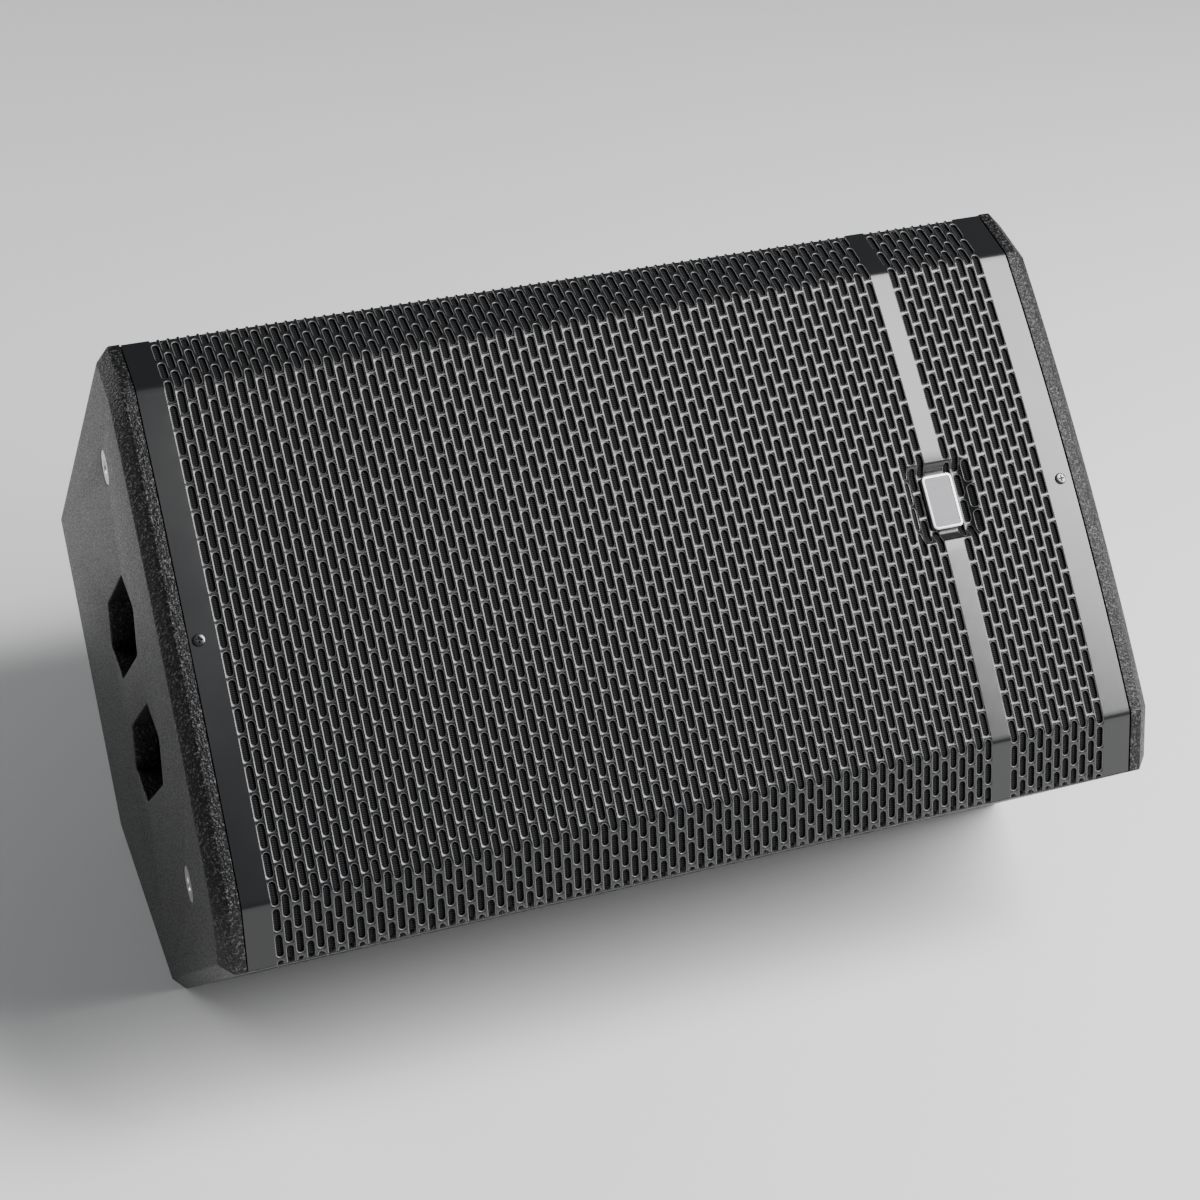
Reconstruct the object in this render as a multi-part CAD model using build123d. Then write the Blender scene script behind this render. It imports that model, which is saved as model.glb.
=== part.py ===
from build123d import *
import math
import os

# A passive 12 inch two-way loudspeaker cabinet, lying on its 45 degree facet as a floor monitor.
# Everything is modelled in a bench frame: +X runs along the cabinet from its top end to its base
# end, +Y runs up the front, +Z points out of the front. The Z = 0 plane touches the middle of the
# bulged grille. At the end the whole cabinet is leaned back about X and set down on its facet.

# ---- Driving dimensions, millimetres -------------------------------------------------------------
LENGTH = 600.0                     # over the two end panels
PLY = 15.0                         # birch plywood
LEAN = 45.0                        # degrees, the front leans back when the cabinet lies on its facet

FACE_HALF = 153.0                  # half the width of the gently bulged middle of the front
FACE_RADIUS = 1640.0               # radius of that bulge
FACET_WIDTH = 34.5                 # each bent side of the front, measured across the cabinet
FACET_DROP = 22.7                  # and how far it falls back
BACK_DEPTH = 371.0                 # front of the grille to the back of the cabinet
LOWER_TAPER = 5.5                  # the lower side runs in by this much
FACET_RUN = 118.0                  # both legs of the 45 degree resting facet
BACK_TOP = 167.0                   # where the upper side meets the back

RIM_CHAMFER = 8.0                  # on the outer edge of both end panels
POCKET_ROUND = 5.0
SHELL_FRONT = -33.0                # front edge of the side panels
BAFFLE_FRONT = -38.0
END_GAP = 0.6                      # slot between the grille and each end panel
FIT_GAP = 0.1                      # between a screw and its hole

GRILLE_INSET = 0.5                 # the grille lies this far below the end panels' front edges
GRILLE_SHEET = 1.5
CLOTH_GAP = 0.3
CLOTH = 3.0
CLOTH_TRIM = 1.0                   # the cloth stops short of the grille's ends and of the sides
BADGE_SIZE = (21.0, 35.0, 1.6)
BADGE_X = 193.5
BADGE_ROUND = 3.0
GRILLE_SCREW_X = (-278.6, 276.4)
GRILLE_SCREW = (3.3, 1.6, 1.8, 12.0)   # every screw: head radius, head height, shank radius, length
BLOCK_HALF = 15.0                  # half the width of the wooden blocks behind the grille
BLOCK_FRONT = -7.0
BLOCK_REACH = 8.5                  # how far a block goes on past its screw, clear of the woofer

POCKET_Y = 40.0                    # the two finger pockets sit either side of a bar
POCKET_Z = -154.0
POCKET_WIDTH = 50.0
POCKET_LENGTH = 134.0
POCKET_POINT = 22.0                # length of each pointed end
CUP_WALL = 3.0
CUP_DEPTH = 44.0
CUP_MARGIN = 4.0                   # from a pocket's edge to the cup's wall

RIG_Y = 128.0                      # threaded rigging points in the top end
RIG_Z = -86.5
RIG_BORE = 3.4                     # radius of the tapped M8 core
RIG_HEAD = 11.0
RIG_BODY = 7.0
RIG_LENGTH = 25.0
RIG_FLANGE = (0.3, 2.0)            # the head's face and back, behind the panel's face

WOOFER_X = 112.0
WOOFER_CUTOUT = 141.5              # radii from here on
WOOFER_FLANGE = 155.0
WOOFER_FLANGE_THICK = 5.0
WOOFER_SCREWS = 8
WOOFER_SCREW_CIRCLE = 148.5
WOOFER_SCREW = (4.6, 3.0, 2.5, 22.0)
GASKET_THICK = 2.0
BASKET_WINDOWS = 6
BASKET_WINDOW = (46.0, 62.0, 40.0)
BASKET_WINDOW_CIRCLE = 112.0
BASKET_WINDOW_Z = -29.0
BASKET_WINDOW_TILT = 42.0
SPIDER_LEDGE = -60.5               # where the basket's wall steps in
BASKET_FLOOR = -88.0
GAP_RADIUS = 34.0                  # bore of the top plate, round the voice coil
POLE_RADIUS = 30.0
VENT_RADIUS = 6.0
TOP_PLATE_BACK = -96.0
MAGNET_BACK = -120.0
BACK_PLATE_BACK = -128.0
MAGNET_RADIUS = 84.0
COIL_RADIUS = 32.4                 # outside of the voice coil's former
SURROUND_CENTRE = 126.0
SURROUND_ROLL = 9.0
SURROUND_LIP = 8.0
SURROUND_BASE = 5.2
SPIDER_Z = -57.0
SPIDER_WAVES = 14
CAP_RADIUS = 46.0
CAP_BOWL = 80.0

HORN_X = -184.0
HORN_FLANGE = (146.0, 240.0, 4.0)
HORN_MOUTH = (118.0, 210.0)
HORN_CUTOUT = (124.0, 216.0)
HORN_DEPTH = 104.0
HORN_WALL = 1.0                    # at the mouth; three times as much at the throat
THROAT_RADIUS = 12.7
THROAT_PLATE = (38.0, 5.0)         # radius and thickness
HORN_SCREW_SPOT = (67.0, 104.0)
HORN_SCREW = (3.8, 2.4, 2.0, 18.0)

DRIVER_PLATE = 45.0                # radius of the front and back plates and of the rear cover
DRIVER_MAGNET = 50.0
DRIVER_GAP = 26.0                  # bore of the magnet and the back plate
DRIVER_FRONT = -8.0                # back of the front plate
DRIVER_MAGNET_BACK = -24.0
DRIVER_BACK = -31.0
DRIVER_COVER_BACK = -58.0
PLUG_RADIUS = 24.2
DOME_BOWL = 30.0
DOME_RADIUS = 23.0
DOME_SHEET = 0.6

PORT_X = -74.0
PORT_Y = 122.0
PORT_BORE = 27.0
PORT_WALL = 3.0
PORT_FLANGE = (8.0, 3.0)           # reach past the bore, and thickness
PORT_LENGTH = 110.0

BATTEN = (16.0, 18.0)
BRACE = (-230.0, -185.0, -8.0, 7.0)    # low and high Z, start and end X

POLE_BORE = 18.0
POLE_WALL = 3.5
POLE_DEPTH = 84.0
POLE_FLANGE = (50.0, 3.0)
POLE_Z = -175.0
POLE_SCREW_CIRCLE = 41.0
POLE_SCREW = (3.6, 2.2, 2.0, 16.0)
FOOT_RADIUS = 17.0
FOOT_TAPER = 2.0
FOOT_HEIGHT = 8.0
FOOT_SINK = (5.0, 3.0)             # radius of the hole for the screw's head, and height of its floor
FOOT_SCREW = (4.0, 2.4, 2.0, 16.0)
FOOT_SPOTS = ((150.0, -62.0), (-150.0, -62.0), (132.0, -338.0), (-48.0, -338.0))

TERMINAL_SIZE = (130.0, 92.0, 2.0)
TERMINAL_SPOT = (60.0, 50.0)       # X and Y of the connector plate on the back
TERMINAL_ROUND = 5.0
TERMINAL_RIM = 14.0                # the plate reaches this far over its hole in the panel
TERMINAL_SCREW_INSET = 7.0
TERMINAL_SCREW = (3.5, 2.0, 1.9, 14.0)
SOCKET_SPACING = 44.0
SOCKET_BORE = 11.5
SOCKET_BODY = 13.0
SOCKET_BACK = -22.0
SOCKET_FLOOR = -18.0
SOCKET_FLANGE = (26.0, 31.0, 2.5)
SOCKET_ROUND = 3.0

BOARD_SPOT = (-120.0, 40.0)        # X and Y of the crossover's board
BOARD_SIZE = (170.0, 110.0, 2.0)
BOARD_LIFT = 10.0
SPACER_REACH = (75.0, 45.0)
SPACER_RADIUS = 4.0
COILS = ((-170.0, 62.0, 24.0, 22.0), (-100.0, 66.0, 19.0, 18.0))   # X, Y, radius, height
COIL_BORE = 8.0
CAN_RADIUS = 9.0
CAN_LENGTH = 46.0
CAN_STEP = 50.0
CAN_SPOT = (-111.0, 14.0)
RESISTOR_SIZE = (12.0, 18.0, 10.0)
RESISTOR_X = -58.0
RESISTOR_STEP = 24.0

WADDING_Z = (-335.0, -155.0)
WADDING_GAP = 1.0
WADDING_THICK = 20.0
WADDING_MIDDLE = 12.0              # half the gap between the two pieces, for the brace

# ---- Sizes that follow ---------------------------------------------------------------------------
INNER_LENGTH = LENGTH - 2 * PLY
SAGITTA = FACE_RADIUS - math.sqrt(FACE_RADIUS**2 - FACE_HALF**2)
HALF_WIDTH = FACE_HALF + FACET_WIDTH
EDGE_Z = -(SAGITTA + FACET_DROP)
UPPER_FRONT = (HALF_WIDTH, EDGE_Z)
LOWER_FRONT = (-HALF_WIDTH, EDGE_Z)
FACET_FRONT = (-HALF_WIDTH + LOWER_TAPER, -BACK_DEPTH + FACET_RUN)
FACET_BACK = (FACET_FRONT[0] + FACET_RUN, -BACK_DEPTH)
UPPER_BACK = (BACK_TOP, -BACK_DEPTH)
BACK_INNER = -BACK_DEPTH + PLY


# ---- Small helpers -------------------------------------------------------------------------------
def along(line_start, line_end, z):
    """The Y of the straight line through two (y, z) points, at the height z."""
    share = (z - line_start[1]) / (line_end[1] - line_start[1])
    return line_start[0] + share * (line_end[0] - line_start[0])


def moved_in(start, end, distance):
    """A (y, z) line moved to the left of its direction, which is into the cabinet."""
    run = (end[0] - start[0], end[1] - start[1])
    size = math.hypot(*run)
    step = (-run[1] / size * distance, run[0] / size * distance)
    return [(p[0] + step[0], p[1] + step[1]) for p in (start, end)]


def crossing(first, second):
    """Where two (y, z) lines meet."""
    (ay, az), (by, bz) = first
    (cy, cz), (dy, dz) = second
    run = (by - ay, bz - az)
    other = (dy - cy, dz - cz)
    share = ((cy - ay) * other[1] - (cz - az) * other[0]) / (run[0] * other[1] - run[1] * other[0])
    return (ay + share * run[0], az + share * run[1])


def prism(points, x_start, x_end):
    """A solid along X whose section is a ring of (y, z) points."""
    face = make_face(Polyline(*points, close=True))
    return extrude(Plane.YZ.offset(x_start) * face, x_end - x_start)


def turned(*points):
    """A ring turned about Z from a closed outline of (radius, z) points."""
    outline = Plane.XZ * make_face(Polyline(*points, close=True))
    return revolve(outline, Axis.Z)


def rod(radius, z_start, z_end):
    """A plain cylinder along Z."""
    return Pos(0, 0, z_start) * extrude(Circle(radius), z_end - z_start)


def rod_along_x(radius, x_start, x_end, y, z):
    """A plain cylinder along X."""
    return extrude(Plane.YZ.offset(x_start) * Pos(y, z) * Circle(radius), x_end - x_start)


def many(shapes):
    """Separate solids of one node."""
    return Compound(children=list(shapes))


def on_circle(radius, count, phase=0.0):
    """Evenly spaced (x, y) points on a circle."""
    turns = [phase + k * 2 * math.pi / count for k in range(count)]
    return [(radius * math.cos(turn), radius * math.sin(turn)) for turn in turns]


def pan_screw(head, head_height, shank, length):
    """A screw pointing down -Z, the underside of its head at z = 0."""
    cap = rod(head, 0, head_height)
    cap = fillet(cap.edges().group_by(Axis.Z)[-1], 0.6 * head_height)
    return cap + rod(shank, -length, 0)


def screw_hole(screw, z_start, z_end):
    """The clearance hole for a screw's shank, along Z."""
    return rod(screw[2] + FIT_GAP, z_start, z_end)


def screw_hole_along_x(screw, x_start, x_end, y, z):
    """The clearance hole for a screw's shank, along X."""
    return rod_along_x(screw[2] + FIT_GAP, x_start, x_end, y, z)


# ---- Cabinet -------------------------------------------------------------------------------------
def front_line(inset=0.0):
    """Wire of the bent front: facet, bulged middle, facet, moved in by a sheet thickness."""
    radius = FACE_RADIUS - inset
    half = FACE_HALF * radius / FACE_RADIUS
    join = FACE_RADIUS - math.sqrt(radius**2 - half**2)
    slope = math.hypot(FACET_WIDTH, FACET_DROP)
    edge = (HALF_WIDTH - inset * FACET_DROP / slope, EDGE_Z - inset * FACET_WIDTH / slope)
    middle = ThreePointArc((half, -join), (0, -inset), (-half, -join))
    return [Line(edge, (half, -join)), middle, Line((-half, -join), (-edge[0], edge[1]))]


def outline_face():
    """The whole cross-section of the cabinet."""
    lines = front_line()
    lines.append(Polyline(LOWER_FRONT, FACET_FRONT, FACET_BACK, UPPER_BACK, UPPER_FRONT))
    return make_face(lines)


def pocket_face(y_centre):
    """One finger pocket: a long hexagon with its points front and back."""
    half_width = POCKET_WIDTH / 2
    half_length = POCKET_LENGTH / 2
    straight = half_length - POCKET_POINT
    points = [
        (y_centre - half_width, POCKET_Z - straight),
        (y_centre, POCKET_Z - half_length),
        (y_centre + half_width, POCKET_Z - straight),
        (y_centre + half_width, POCKET_Z + straight),
        (y_centre, POCKET_Z + half_length),
        (y_centre - half_width, POCKET_Z + straight),
    ]
    face = make_face(Polyline(*points, close=True))
    return fillet(face.vertices(), POCKET_ROUND)


def end_panel(outer_x, inner_x):
    """A ply end panel with its outer rim chamfered."""
    panel = extrude(Plane.YZ.offset(min(outer_x, inner_x)) * outline_face(), abs(outer_x - inner_x))
    outer_face = panel.faces().filter_by(Axis.X).sort_by(Axis.X)[0 if outer_x < inner_x else -1]
    return chamfer(outer_face.edges(), RIM_CHAMFER)


def end_panels():
    """The top end with its pockets and rigging holes, the base end with its pole socket hole."""
    half = LENGTH / 2
    top = end_panel(-half, -half + PLY)
    for side in (1, -1):
        top -= extrude(Plane.YZ.offset(-half - 1) * pocket_face(side * POCKET_Y), PLY + 2)
        top -= rod_along_x(RIG_BODY + FIT_GAP, -half - 1, -half + PLY + 1, side * RIG_Y, RIG_Z)
        top -= rod_along_x(RIG_HEAD + FIT_GAP, -half - 1, -half + RIG_FLANGE[1], side * RIG_Y, RIG_Z)
    base = end_panel(half, half - PLY)
    through = (half - PLY - 1, half + 1)
    base -= rod_along_x(POLE_BORE + POLE_WALL + FIT_GAP, *through, 0, POLE_Z)
    for y, z in FOOT_SPOTS:
        base -= screw_hole_along_x(FOOT_SCREW, *through, y, z)
    for y, z in pole_screw_spots():
        base -= screw_hole_along_x(POLE_SCREW, *through, y, z)
    return {"end_panel_top": top, "end_panel_base": base}


def carcass():
    """The four long panels between the ends, mitred where they meet."""
    corners = [UPPER_FRONT, UPPER_BACK, FACET_BACK, FACET_FRONT, LOWER_FRONT]
    corners[0] = (along(UPPER_FRONT, UPPER_BACK, SHELL_FRONT), SHELL_FRONT)
    corners[4] = (along(LOWER_FRONT, FACET_FRONT, SHELL_FRONT), SHELL_FRONT)
    inner = inner_ring()
    names = ("upper_side", "back_panel", "facet_panel", "lower_side")
    panels = {}
    for k, name in enumerate(names):
        ring = [corners[k], corners[k + 1], inner[k + 1], inner[k]]
        panels[name] = prism(ring, -INNER_LENGTH / 2, INNER_LENGTH / 2)
    x, y = TERMINAL_SPOT
    cut = Box(TERMINAL_SIZE[0] - 2 * TERMINAL_RIM, TERMINAL_SIZE[1] - 2 * TERMINAL_RIM, PLY + 2)
    panels["back_panel"] -= Pos(x, y, -BACK_DEPTH + PLY / 2) * cut
    hole = screw_hole(TERMINAL_SCREW, -BACK_DEPTH - 1, BACK_INNER + 1)
    for dx, dy in terminal_screw_spots():
        panels["back_panel"] -= Pos(x + dx, y + dy, 0) * hole
    return panels


def inner_ring(extra=0.0):
    """The inside corners of the carcass, from the upper side round to the lower side."""
    outer = [UPPER_FRONT, UPPER_BACK, FACET_BACK, FACET_FRONT, LOWER_FRONT]
    lines = [moved_in(outer[k + 1], outer[k], PLY + extra) for k in range(4)]
    front = ((0.0, SHELL_FRONT), (1.0, SHELL_FRONT))
    ring = [crossing(lines[0], front)]
    for k in range(3):
        ring.append(crossing(lines[k], lines[k + 1]))
    ring.append(crossing(lines[3], front))
    return ring


def inside_plate(z_low, z_high, x_start, x_end):
    """A plate that fills the width between the two sides."""
    ring = inner_ring()
    upper = (ring[0], ring[1])
    lower = (ring[4], ring[3])
    points = [
        (along(*upper, z_high), z_high), (along(*upper, z_low), z_low),
        (along(*lower, z_low), z_low), (along(*lower, z_high), z_high),
    ]
    return prism(points, x_start, x_end)


def baffle():
    """The board that carries the woofer, the horn and the two ports."""
    half = INNER_LENGTH / 2
    board = inside_plate(BAFFLE_FRONT - PLY, BAFFLE_FRONT, -half, half)
    through = (BAFFLE_FRONT - PLY - 1, BAFFLE_FRONT + 1)
    board -= Pos(WOOFER_X, 0, 0) * rod(WOOFER_CUTOUT, *through)
    for x, y in woofer_screw_spots():
        board -= Pos(WOOFER_X + x, y, 0) * screw_hole(WOOFER_SCREW, *through)
    board -= Pos(HORN_X, 0, BAFFLE_FRONT - PLY / 2) * Box(*HORN_CUTOUT, PLY + 2)
    for x, y in horn_screw_spots():
        board -= Pos(HORN_X + x, y, 0) * screw_hole(HORN_SCREW, *through)
    for side in (1, -1):
        board -= Pos(PORT_X, side * PORT_Y, 0) * rod(PORT_BORE + PORT_WALL + FIT_GAP, *through)
    return board


def bracing():
    """Battens behind the baffle and a brace between the sides, clear of the magnet."""
    battens = []
    ring = inner_ring()
    half = INNER_LENGTH / 2
    top_z = BAFFLE_FRONT - PLY
    wide, tall = BATTEN
    for front, back, side in ((ring[0], ring[1], 1), (ring[4], ring[3], -1)):
        outer_high = along(front, back, top_z)
        outer_low = along(front, back, top_z - tall)
        inner_y = outer_high - side * wide
        section = [(outer_high, top_z), (outer_low, top_z - tall), (inner_y, top_z - tall), (inner_y, top_z)]
        battens.append(prism(section, -half, half))
    return {"baffle_battens": many(battens), "cross_brace": inside_plate(*BRACE)}


# ---- Front ---------------------------------------------------------------------------------------
def bent_sheet(outer_inset, inner_inset, x_half):
    """A sheet of even thickness that follows the bent front."""
    outer = front_line(outer_inset)
    inner = front_line(inner_inset)
    ends = [Line(outer[0] @ 0, inner[0] @ 0), Line(outer[2] @ 1, inner[2] @ 1)]
    face = make_face(outer + inner + ends)
    return extrude(Plane.YZ.offset(-x_half) * face, 2 * x_half)


def front_cover():
    """Grille, the cloth behind it, the badge and the two screws."""
    x_half = INNER_LENGTH / 2 - END_GAP
    cloth_face = GRILLE_INSET + GRILLE_SHEET + CLOTH_GAP
    grille = bent_sheet(GRILLE_INSET, GRILLE_INSET + GRILLE_SHEET, x_half)
    cloth = bent_sheet(cloth_face, cloth_face + CLOTH, x_half - CLOTH_TRIM)
    cloth &= Box(LENGTH, 2 * (HALF_WIDTH - PLY - CLOTH_TRIM), BACK_DEPTH)
    length = GRILLE_SCREW[3]
    screws = []
    for x in GRILLE_SCREW_X:
        hole = Pos(x, 0, 0) * screw_hole(GRILLE_SCREW, -length, 2)
        grille -= hole
        cloth -= hole
        screws.append(Pos(x, 0, -GRILLE_INSET) * pan_screw(*GRILLE_SCREW))
    plate = extrude(RectangleRounded(BADGE_SIZE[0], BADGE_SIZE[1], BADGE_ROUND), BADGE_SIZE[2])
    badge = Pos(BADGE_X, 0, -GRILLE_INSET) * plate
    return {"grille": grille, "grille_cloth": cloth, "grille_screws": many(screws), "badge": badge}


def grille_blocks():
    """Wooden blocks at both ends that the grille screws bite into."""
    section = [(-BLOCK_HALF, BAFFLE_FRONT), (BLOCK_HALF, BAFFLE_FRONT), (BLOCK_HALF, BLOCK_FRONT),
               (-BLOCK_HALF, BLOCK_FRONT)]
    blocks = []
    for x, side in zip(GRILLE_SCREW_X, (-1, 1)):
        low, high = sorted((side * INNER_LENGTH / 2, x - side * BLOCK_REACH))
        block = prism(section, low, high)
        blocks.append(block - Pos(x, 0, 0) * screw_hole(GRILLE_SCREW, -GRILLE_SCREW[3] - 2, 0))
    return many(blocks)


# ---- Woofer --------------------------------------------------------------------------------------
def woofer_screw_spots():
    """The (x, y) spots of the woofer's mounting screws, from its centre."""
    return on_circle(WOOFER_SCREW_CIRCLE, WOOFER_SCREWS, math.pi / WOOFER_SCREWS)


def woofer_basket():
    """The pressed frame: flange, conical wall with windows, and the seat for the magnet."""
    top = WOOFER_FLANGE_THICK
    ledge = SPIDER_LEDGE
    floor = BASKET_FLOOR
    flange = turned((139, 0), (WOOFER_FLANGE, 0), (WOOFER_FLANGE, top), (139, top))
    wall = turned((141, 0), (139, top), (136.5, top), (138, 0), (83, ledge + 2.5), (72, ledge + 2.5),
                  (72, floor + 2), (74.5, floor), (74.5, ledge), (84.5, ledge))
    seat = turned((GAP_RADIUS, floor), (74.5, floor), (74.5, floor + 3), (GAP_RADIUS, floor + 3))
    basket = flange + wall + seat
    reach = Pos(BASKET_WINDOW_CIRCLE, 0, BASKET_WINDOW_Z)
    for k in range(BASKET_WINDOWS):
        window = Rot(0, BASKET_WINDOW_TILT, 0) * Box(*BASKET_WINDOW)
        basket -= Rot(0, 0, k * 360 / BASKET_WINDOWS) * reach * window
    for x, y in woofer_screw_spots():
        basket -= Pos(x, y, 0) * screw_hole(WOOFER_SCREW, -1, top + 1)
    return basket


def woofer():
    """A 12 inch woofer, its mounting face at z = 0 and its voice coil axis on Z."""
    top = WOOFER_FLANGE_THICK
    gasket_top = top + GASKET_THICK
    gasket = turned((143, top), (154, top), (154, gasket_top), (143, gasket_top))
    screws = []
    for x, y in woofer_screw_spots():
        gasket -= Pos(x, y, 0) * rod(WOOFER_SCREW[0] + 0.6, top - 1, gasket_top + 1)
        screws.append(Pos(x, y, top) * pan_screw(*WOOFER_SCREW))
    top_plate = turned((GAP_RADIUS, TOP_PLATE_BACK), (74, TOP_PLATE_BACK), (74, BASKET_FLOOR),
                       (GAP_RADIUS, BASKET_FLOOR))
    magnet = turned((45, MAGNET_BACK), (MAGNET_RADIUS, MAGNET_BACK), (MAGNET_RADIUS, TOP_PLATE_BACK),
                    (45, TOP_PLATE_BACK))
    pole_piece = turned((VENT_RADIUS, BACK_PLATE_BACK), (78, BACK_PLATE_BACK), (78, MAGNET_BACK),
                        (POLE_RADIUS, MAGNET_BACK), (POLE_RADIUS, BASKET_FLOOR),
                        (VENT_RADIUS, BASKET_FLOOR))
    return {
        "woofer_basket": woofer_basket(), "woofer_gasket": gasket, "woofer_screws": many(screws),
        "woofer_top_plate": top_plate, "woofer_magnet": magnet, "woofer_back_plate": pole_piece,
    }


def woofer_suspension():
    """The rolled surround and the corrugated spider, which flex between frame and cone."""
    roll = turned(*roll_outline(SURROUND_CENTRE, SURROUND_ROLL, 1.2, SURROUND_BASE, SURROUND_LIP))
    inner, outer = COIL_RADIUS + 0.8, 71.6
    wave, half_thick = 1.6, 0.5
    points_top = []
    points_bottom = []
    for k in range(SPIDER_WAVES + 1):
        radius = inner + (outer - inner) * k / SPIDER_WAVES
        lift = (wave if k % 2 else -wave) * (0 < k < SPIDER_WAVES)
        points_top.append((radius, SPIDER_Z + lift + half_thick))
        points_bottom.append((radius, SPIDER_Z + lift - half_thick))
    spider = turned(*points_top, *reversed(points_bottom))
    return {"woofer_surround": roll, "woofer_spider": spider}


def roll_outline(centre, radius, thickness, base_z, lip):
    """Outline of a half roll with a flat lip at each side, as (radius, z) points."""
    steps = 10
    outer = []
    inner = []
    for k in range(steps + 1):
        angle = math.pi * k / steps
        outer.append((centre - (radius + thickness / 2) * math.cos(angle),
                      base_z + thickness / 2 + (radius + thickness / 2) * math.sin(angle)))
        inner.append((centre - (radius - thickness / 2) * math.cos(angle),
                      base_z + thickness / 2 + (radius - thickness / 2) * math.sin(angle)))
    left = centre - radius - lip
    right = centre + radius + lip
    high = base_z + thickness
    top = [(left, high)] + [p for p in outer if p[1] > high - 0.01] + [(right, high)]
    bottom = [(right, base_z)] + [p for p in reversed(inner) if p[1] > base_z + 0.01] + [(left, base_z)]
    return top + bottom


def woofer_cone():
    """What the voice coil drives: cone, dust cap and coil on its former."""
    rim, neck = (111, 4.6), (COIL_RADIUS, -44.8)
    cone = turned((117, 3.2), (117, 4.6), rim, neck, (neck[0], neck[1] - 1.8), (110.2, 3.2))
    cap_z = neck[1] + (CAP_RADIUS - neck[0]) * (rim[1] - neck[1]) / (rim[0] - neck[0])
    shell = Sphere(CAP_BOWL) - Sphere(CAP_BOWL - 1)
    dome_z = math.sqrt(CAP_BOWL**2 - CAP_RADIUS**2)
    cap = Pos(0, 0, cap_z - dome_z) * (shell & rod(CAP_RADIUS, dome_z, CAP_BOWL + 1))
    inside = COIL_RADIUS - 0.5
    former = turned((inside, -104), (COIL_RADIUS, -104), (COIL_RADIUS, -42), (inside, -42))
    outside = COIL_RADIUS + 0.6
    winding = turned((COIL_RADIUS, -99), (outside, -99), (outside, -85), (COIL_RADIUS, -85))
    return {"woofer_cone": cone, "woofer_dust_cap": cap, "woofer_voice_coil": former + winding}


# ---- Horn and compression driver -----------------------------------------------------------------
def horn_screw_spots():
    """Screw holes in the horn's flange."""
    x, y = HORN_SCREW_SPOT
    return [(sx * x, sy * y) for sx in (1, -1) for sy in (1, -1)]


def horn():
    """A moulded horn with a rectangular mouth, and the plate that the driver is bolted to."""
    wide, long, thick = HORN_FLANGE
    flange = extrude(RectangleRounded(wide, long, 8), thick)
    mouth = Rectangle(HORN_MOUTH[0] + 2 * HORN_WALL, HORN_MOUTH[1] + 2 * HORN_WALL)
    throat = Circle(THROAT_RADIUS + 3 * HORN_WALL)
    shell = loft([mouth, Pos(0, 0, -HORN_DEPTH) * throat])
    hollow = loft([Pos(0, 0, thick) * Rectangle(*HORN_MOUTH), Pos(0, 0, -HORN_DEPTH) * Circle(THROAT_RADIUS)])
    radius, deep = THROAT_PLATE
    flare = flange + shell + rod(radius, -HORN_DEPTH - deep, -HORN_DEPTH) - hollow
    flare -= rod(THROAT_RADIUS, -HORN_DEPTH - deep - 1, -HORN_DEPTH + 1)
    screws = []
    for x, y in horn_screw_spots():
        flare -= Pos(x, y, 0) * screw_hole(HORN_SCREW, -1, thick + 1)
        screws.append(Pos(x, y, thick) * pan_screw(*HORN_SCREW))
    return {"horn_flare": flare, "horn_screws": many(screws)}


def compression_driver():
    """The high-frequency driver behind the throat, its front face at z = 0."""
    throat, plate, gap = THROAT_RADIUS, DRIVER_PLATE, DRIVER_GAP
    front_plate = turned((throat, DRIVER_FRONT), (plate, DRIVER_FRONT), (plate, 0), (throat, 0))
    magnet = turned((gap, DRIVER_MAGNET_BACK), (DRIVER_MAGNET, DRIVER_MAGNET_BACK),
                    (DRIVER_MAGNET, DRIVER_FRONT), (gap, DRIVER_FRONT))
    plug_back = DRIVER_BACK + 1
    phase_plug = turned((throat, plug_back), (PLUG_RADIUS, plug_back), (PLUG_RADIUS, DRIVER_FRONT),
                        (throat, DRIVER_FRONT))
    back_plate = turned((gap, DRIVER_BACK), (plate, DRIVER_BACK), (plate, DRIVER_MAGNET_BACK),
                        (gap, DRIVER_MAGNET_BACK))
    shell = Sphere(DOME_BOWL) - Sphere(DOME_BOWL - DOME_SHEET)
    lowest = math.sqrt(DOME_BOWL**2 - DOME_RADIUS**2)
    dome = Pos(0, 0, lowest - 32) * (shell & rod(DRIVER_PLATE, -DOME_BOWL - 1, -lowest))
    coil = turned((24.6, -34), (25.6, -34), (25.6, -28), (24.6, -28))
    skirt = turned((22, -33), (25.6, -33), (25.6, -32), (22, -32))
    back, rim = DRIVER_COVER_BACK, DRIVER_BACK
    cover = turned((25.9, rim), (plate, rim), (plate, back + 4), (plate - 3, back), (0, back), (0, back + 3),
                   (plate - 4, back + 3), (plate - 4, rim - 3), (25.9, rim - 3))
    return {
        "hf_front_plate": front_plate, "hf_magnet": magnet, "hf_phase_plug": phase_plug,
        "hf_back_plate": back_plate, "hf_diaphragm": dome + coil + skirt, "hf_rear_cover": cover,
    }


# ---- Ports, handle, rigging, base ----------------------------------------------------------------
def ports():
    """Two reflex ports, each a flanged tube."""
    outside = PORT_BORE + PORT_WALL
    reach, thick = PORT_BORE + PORT_FLANGE[0], PORT_FLANGE[1]
    tube = turned((PORT_BORE, -PORT_LENGTH), (outside, -PORT_LENGTH), (outside, 0), (reach, 0),
                  (reach, thick), (outside, thick), (PORT_BORE, 0))
    return {
        "port_upper": Pos(PORT_X, PORT_Y, BAFFLE_FRONT) * tube,
        "port_lower": Pos(PORT_X, -PORT_Y, BAFFLE_FRONT) * tube,
    }


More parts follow.
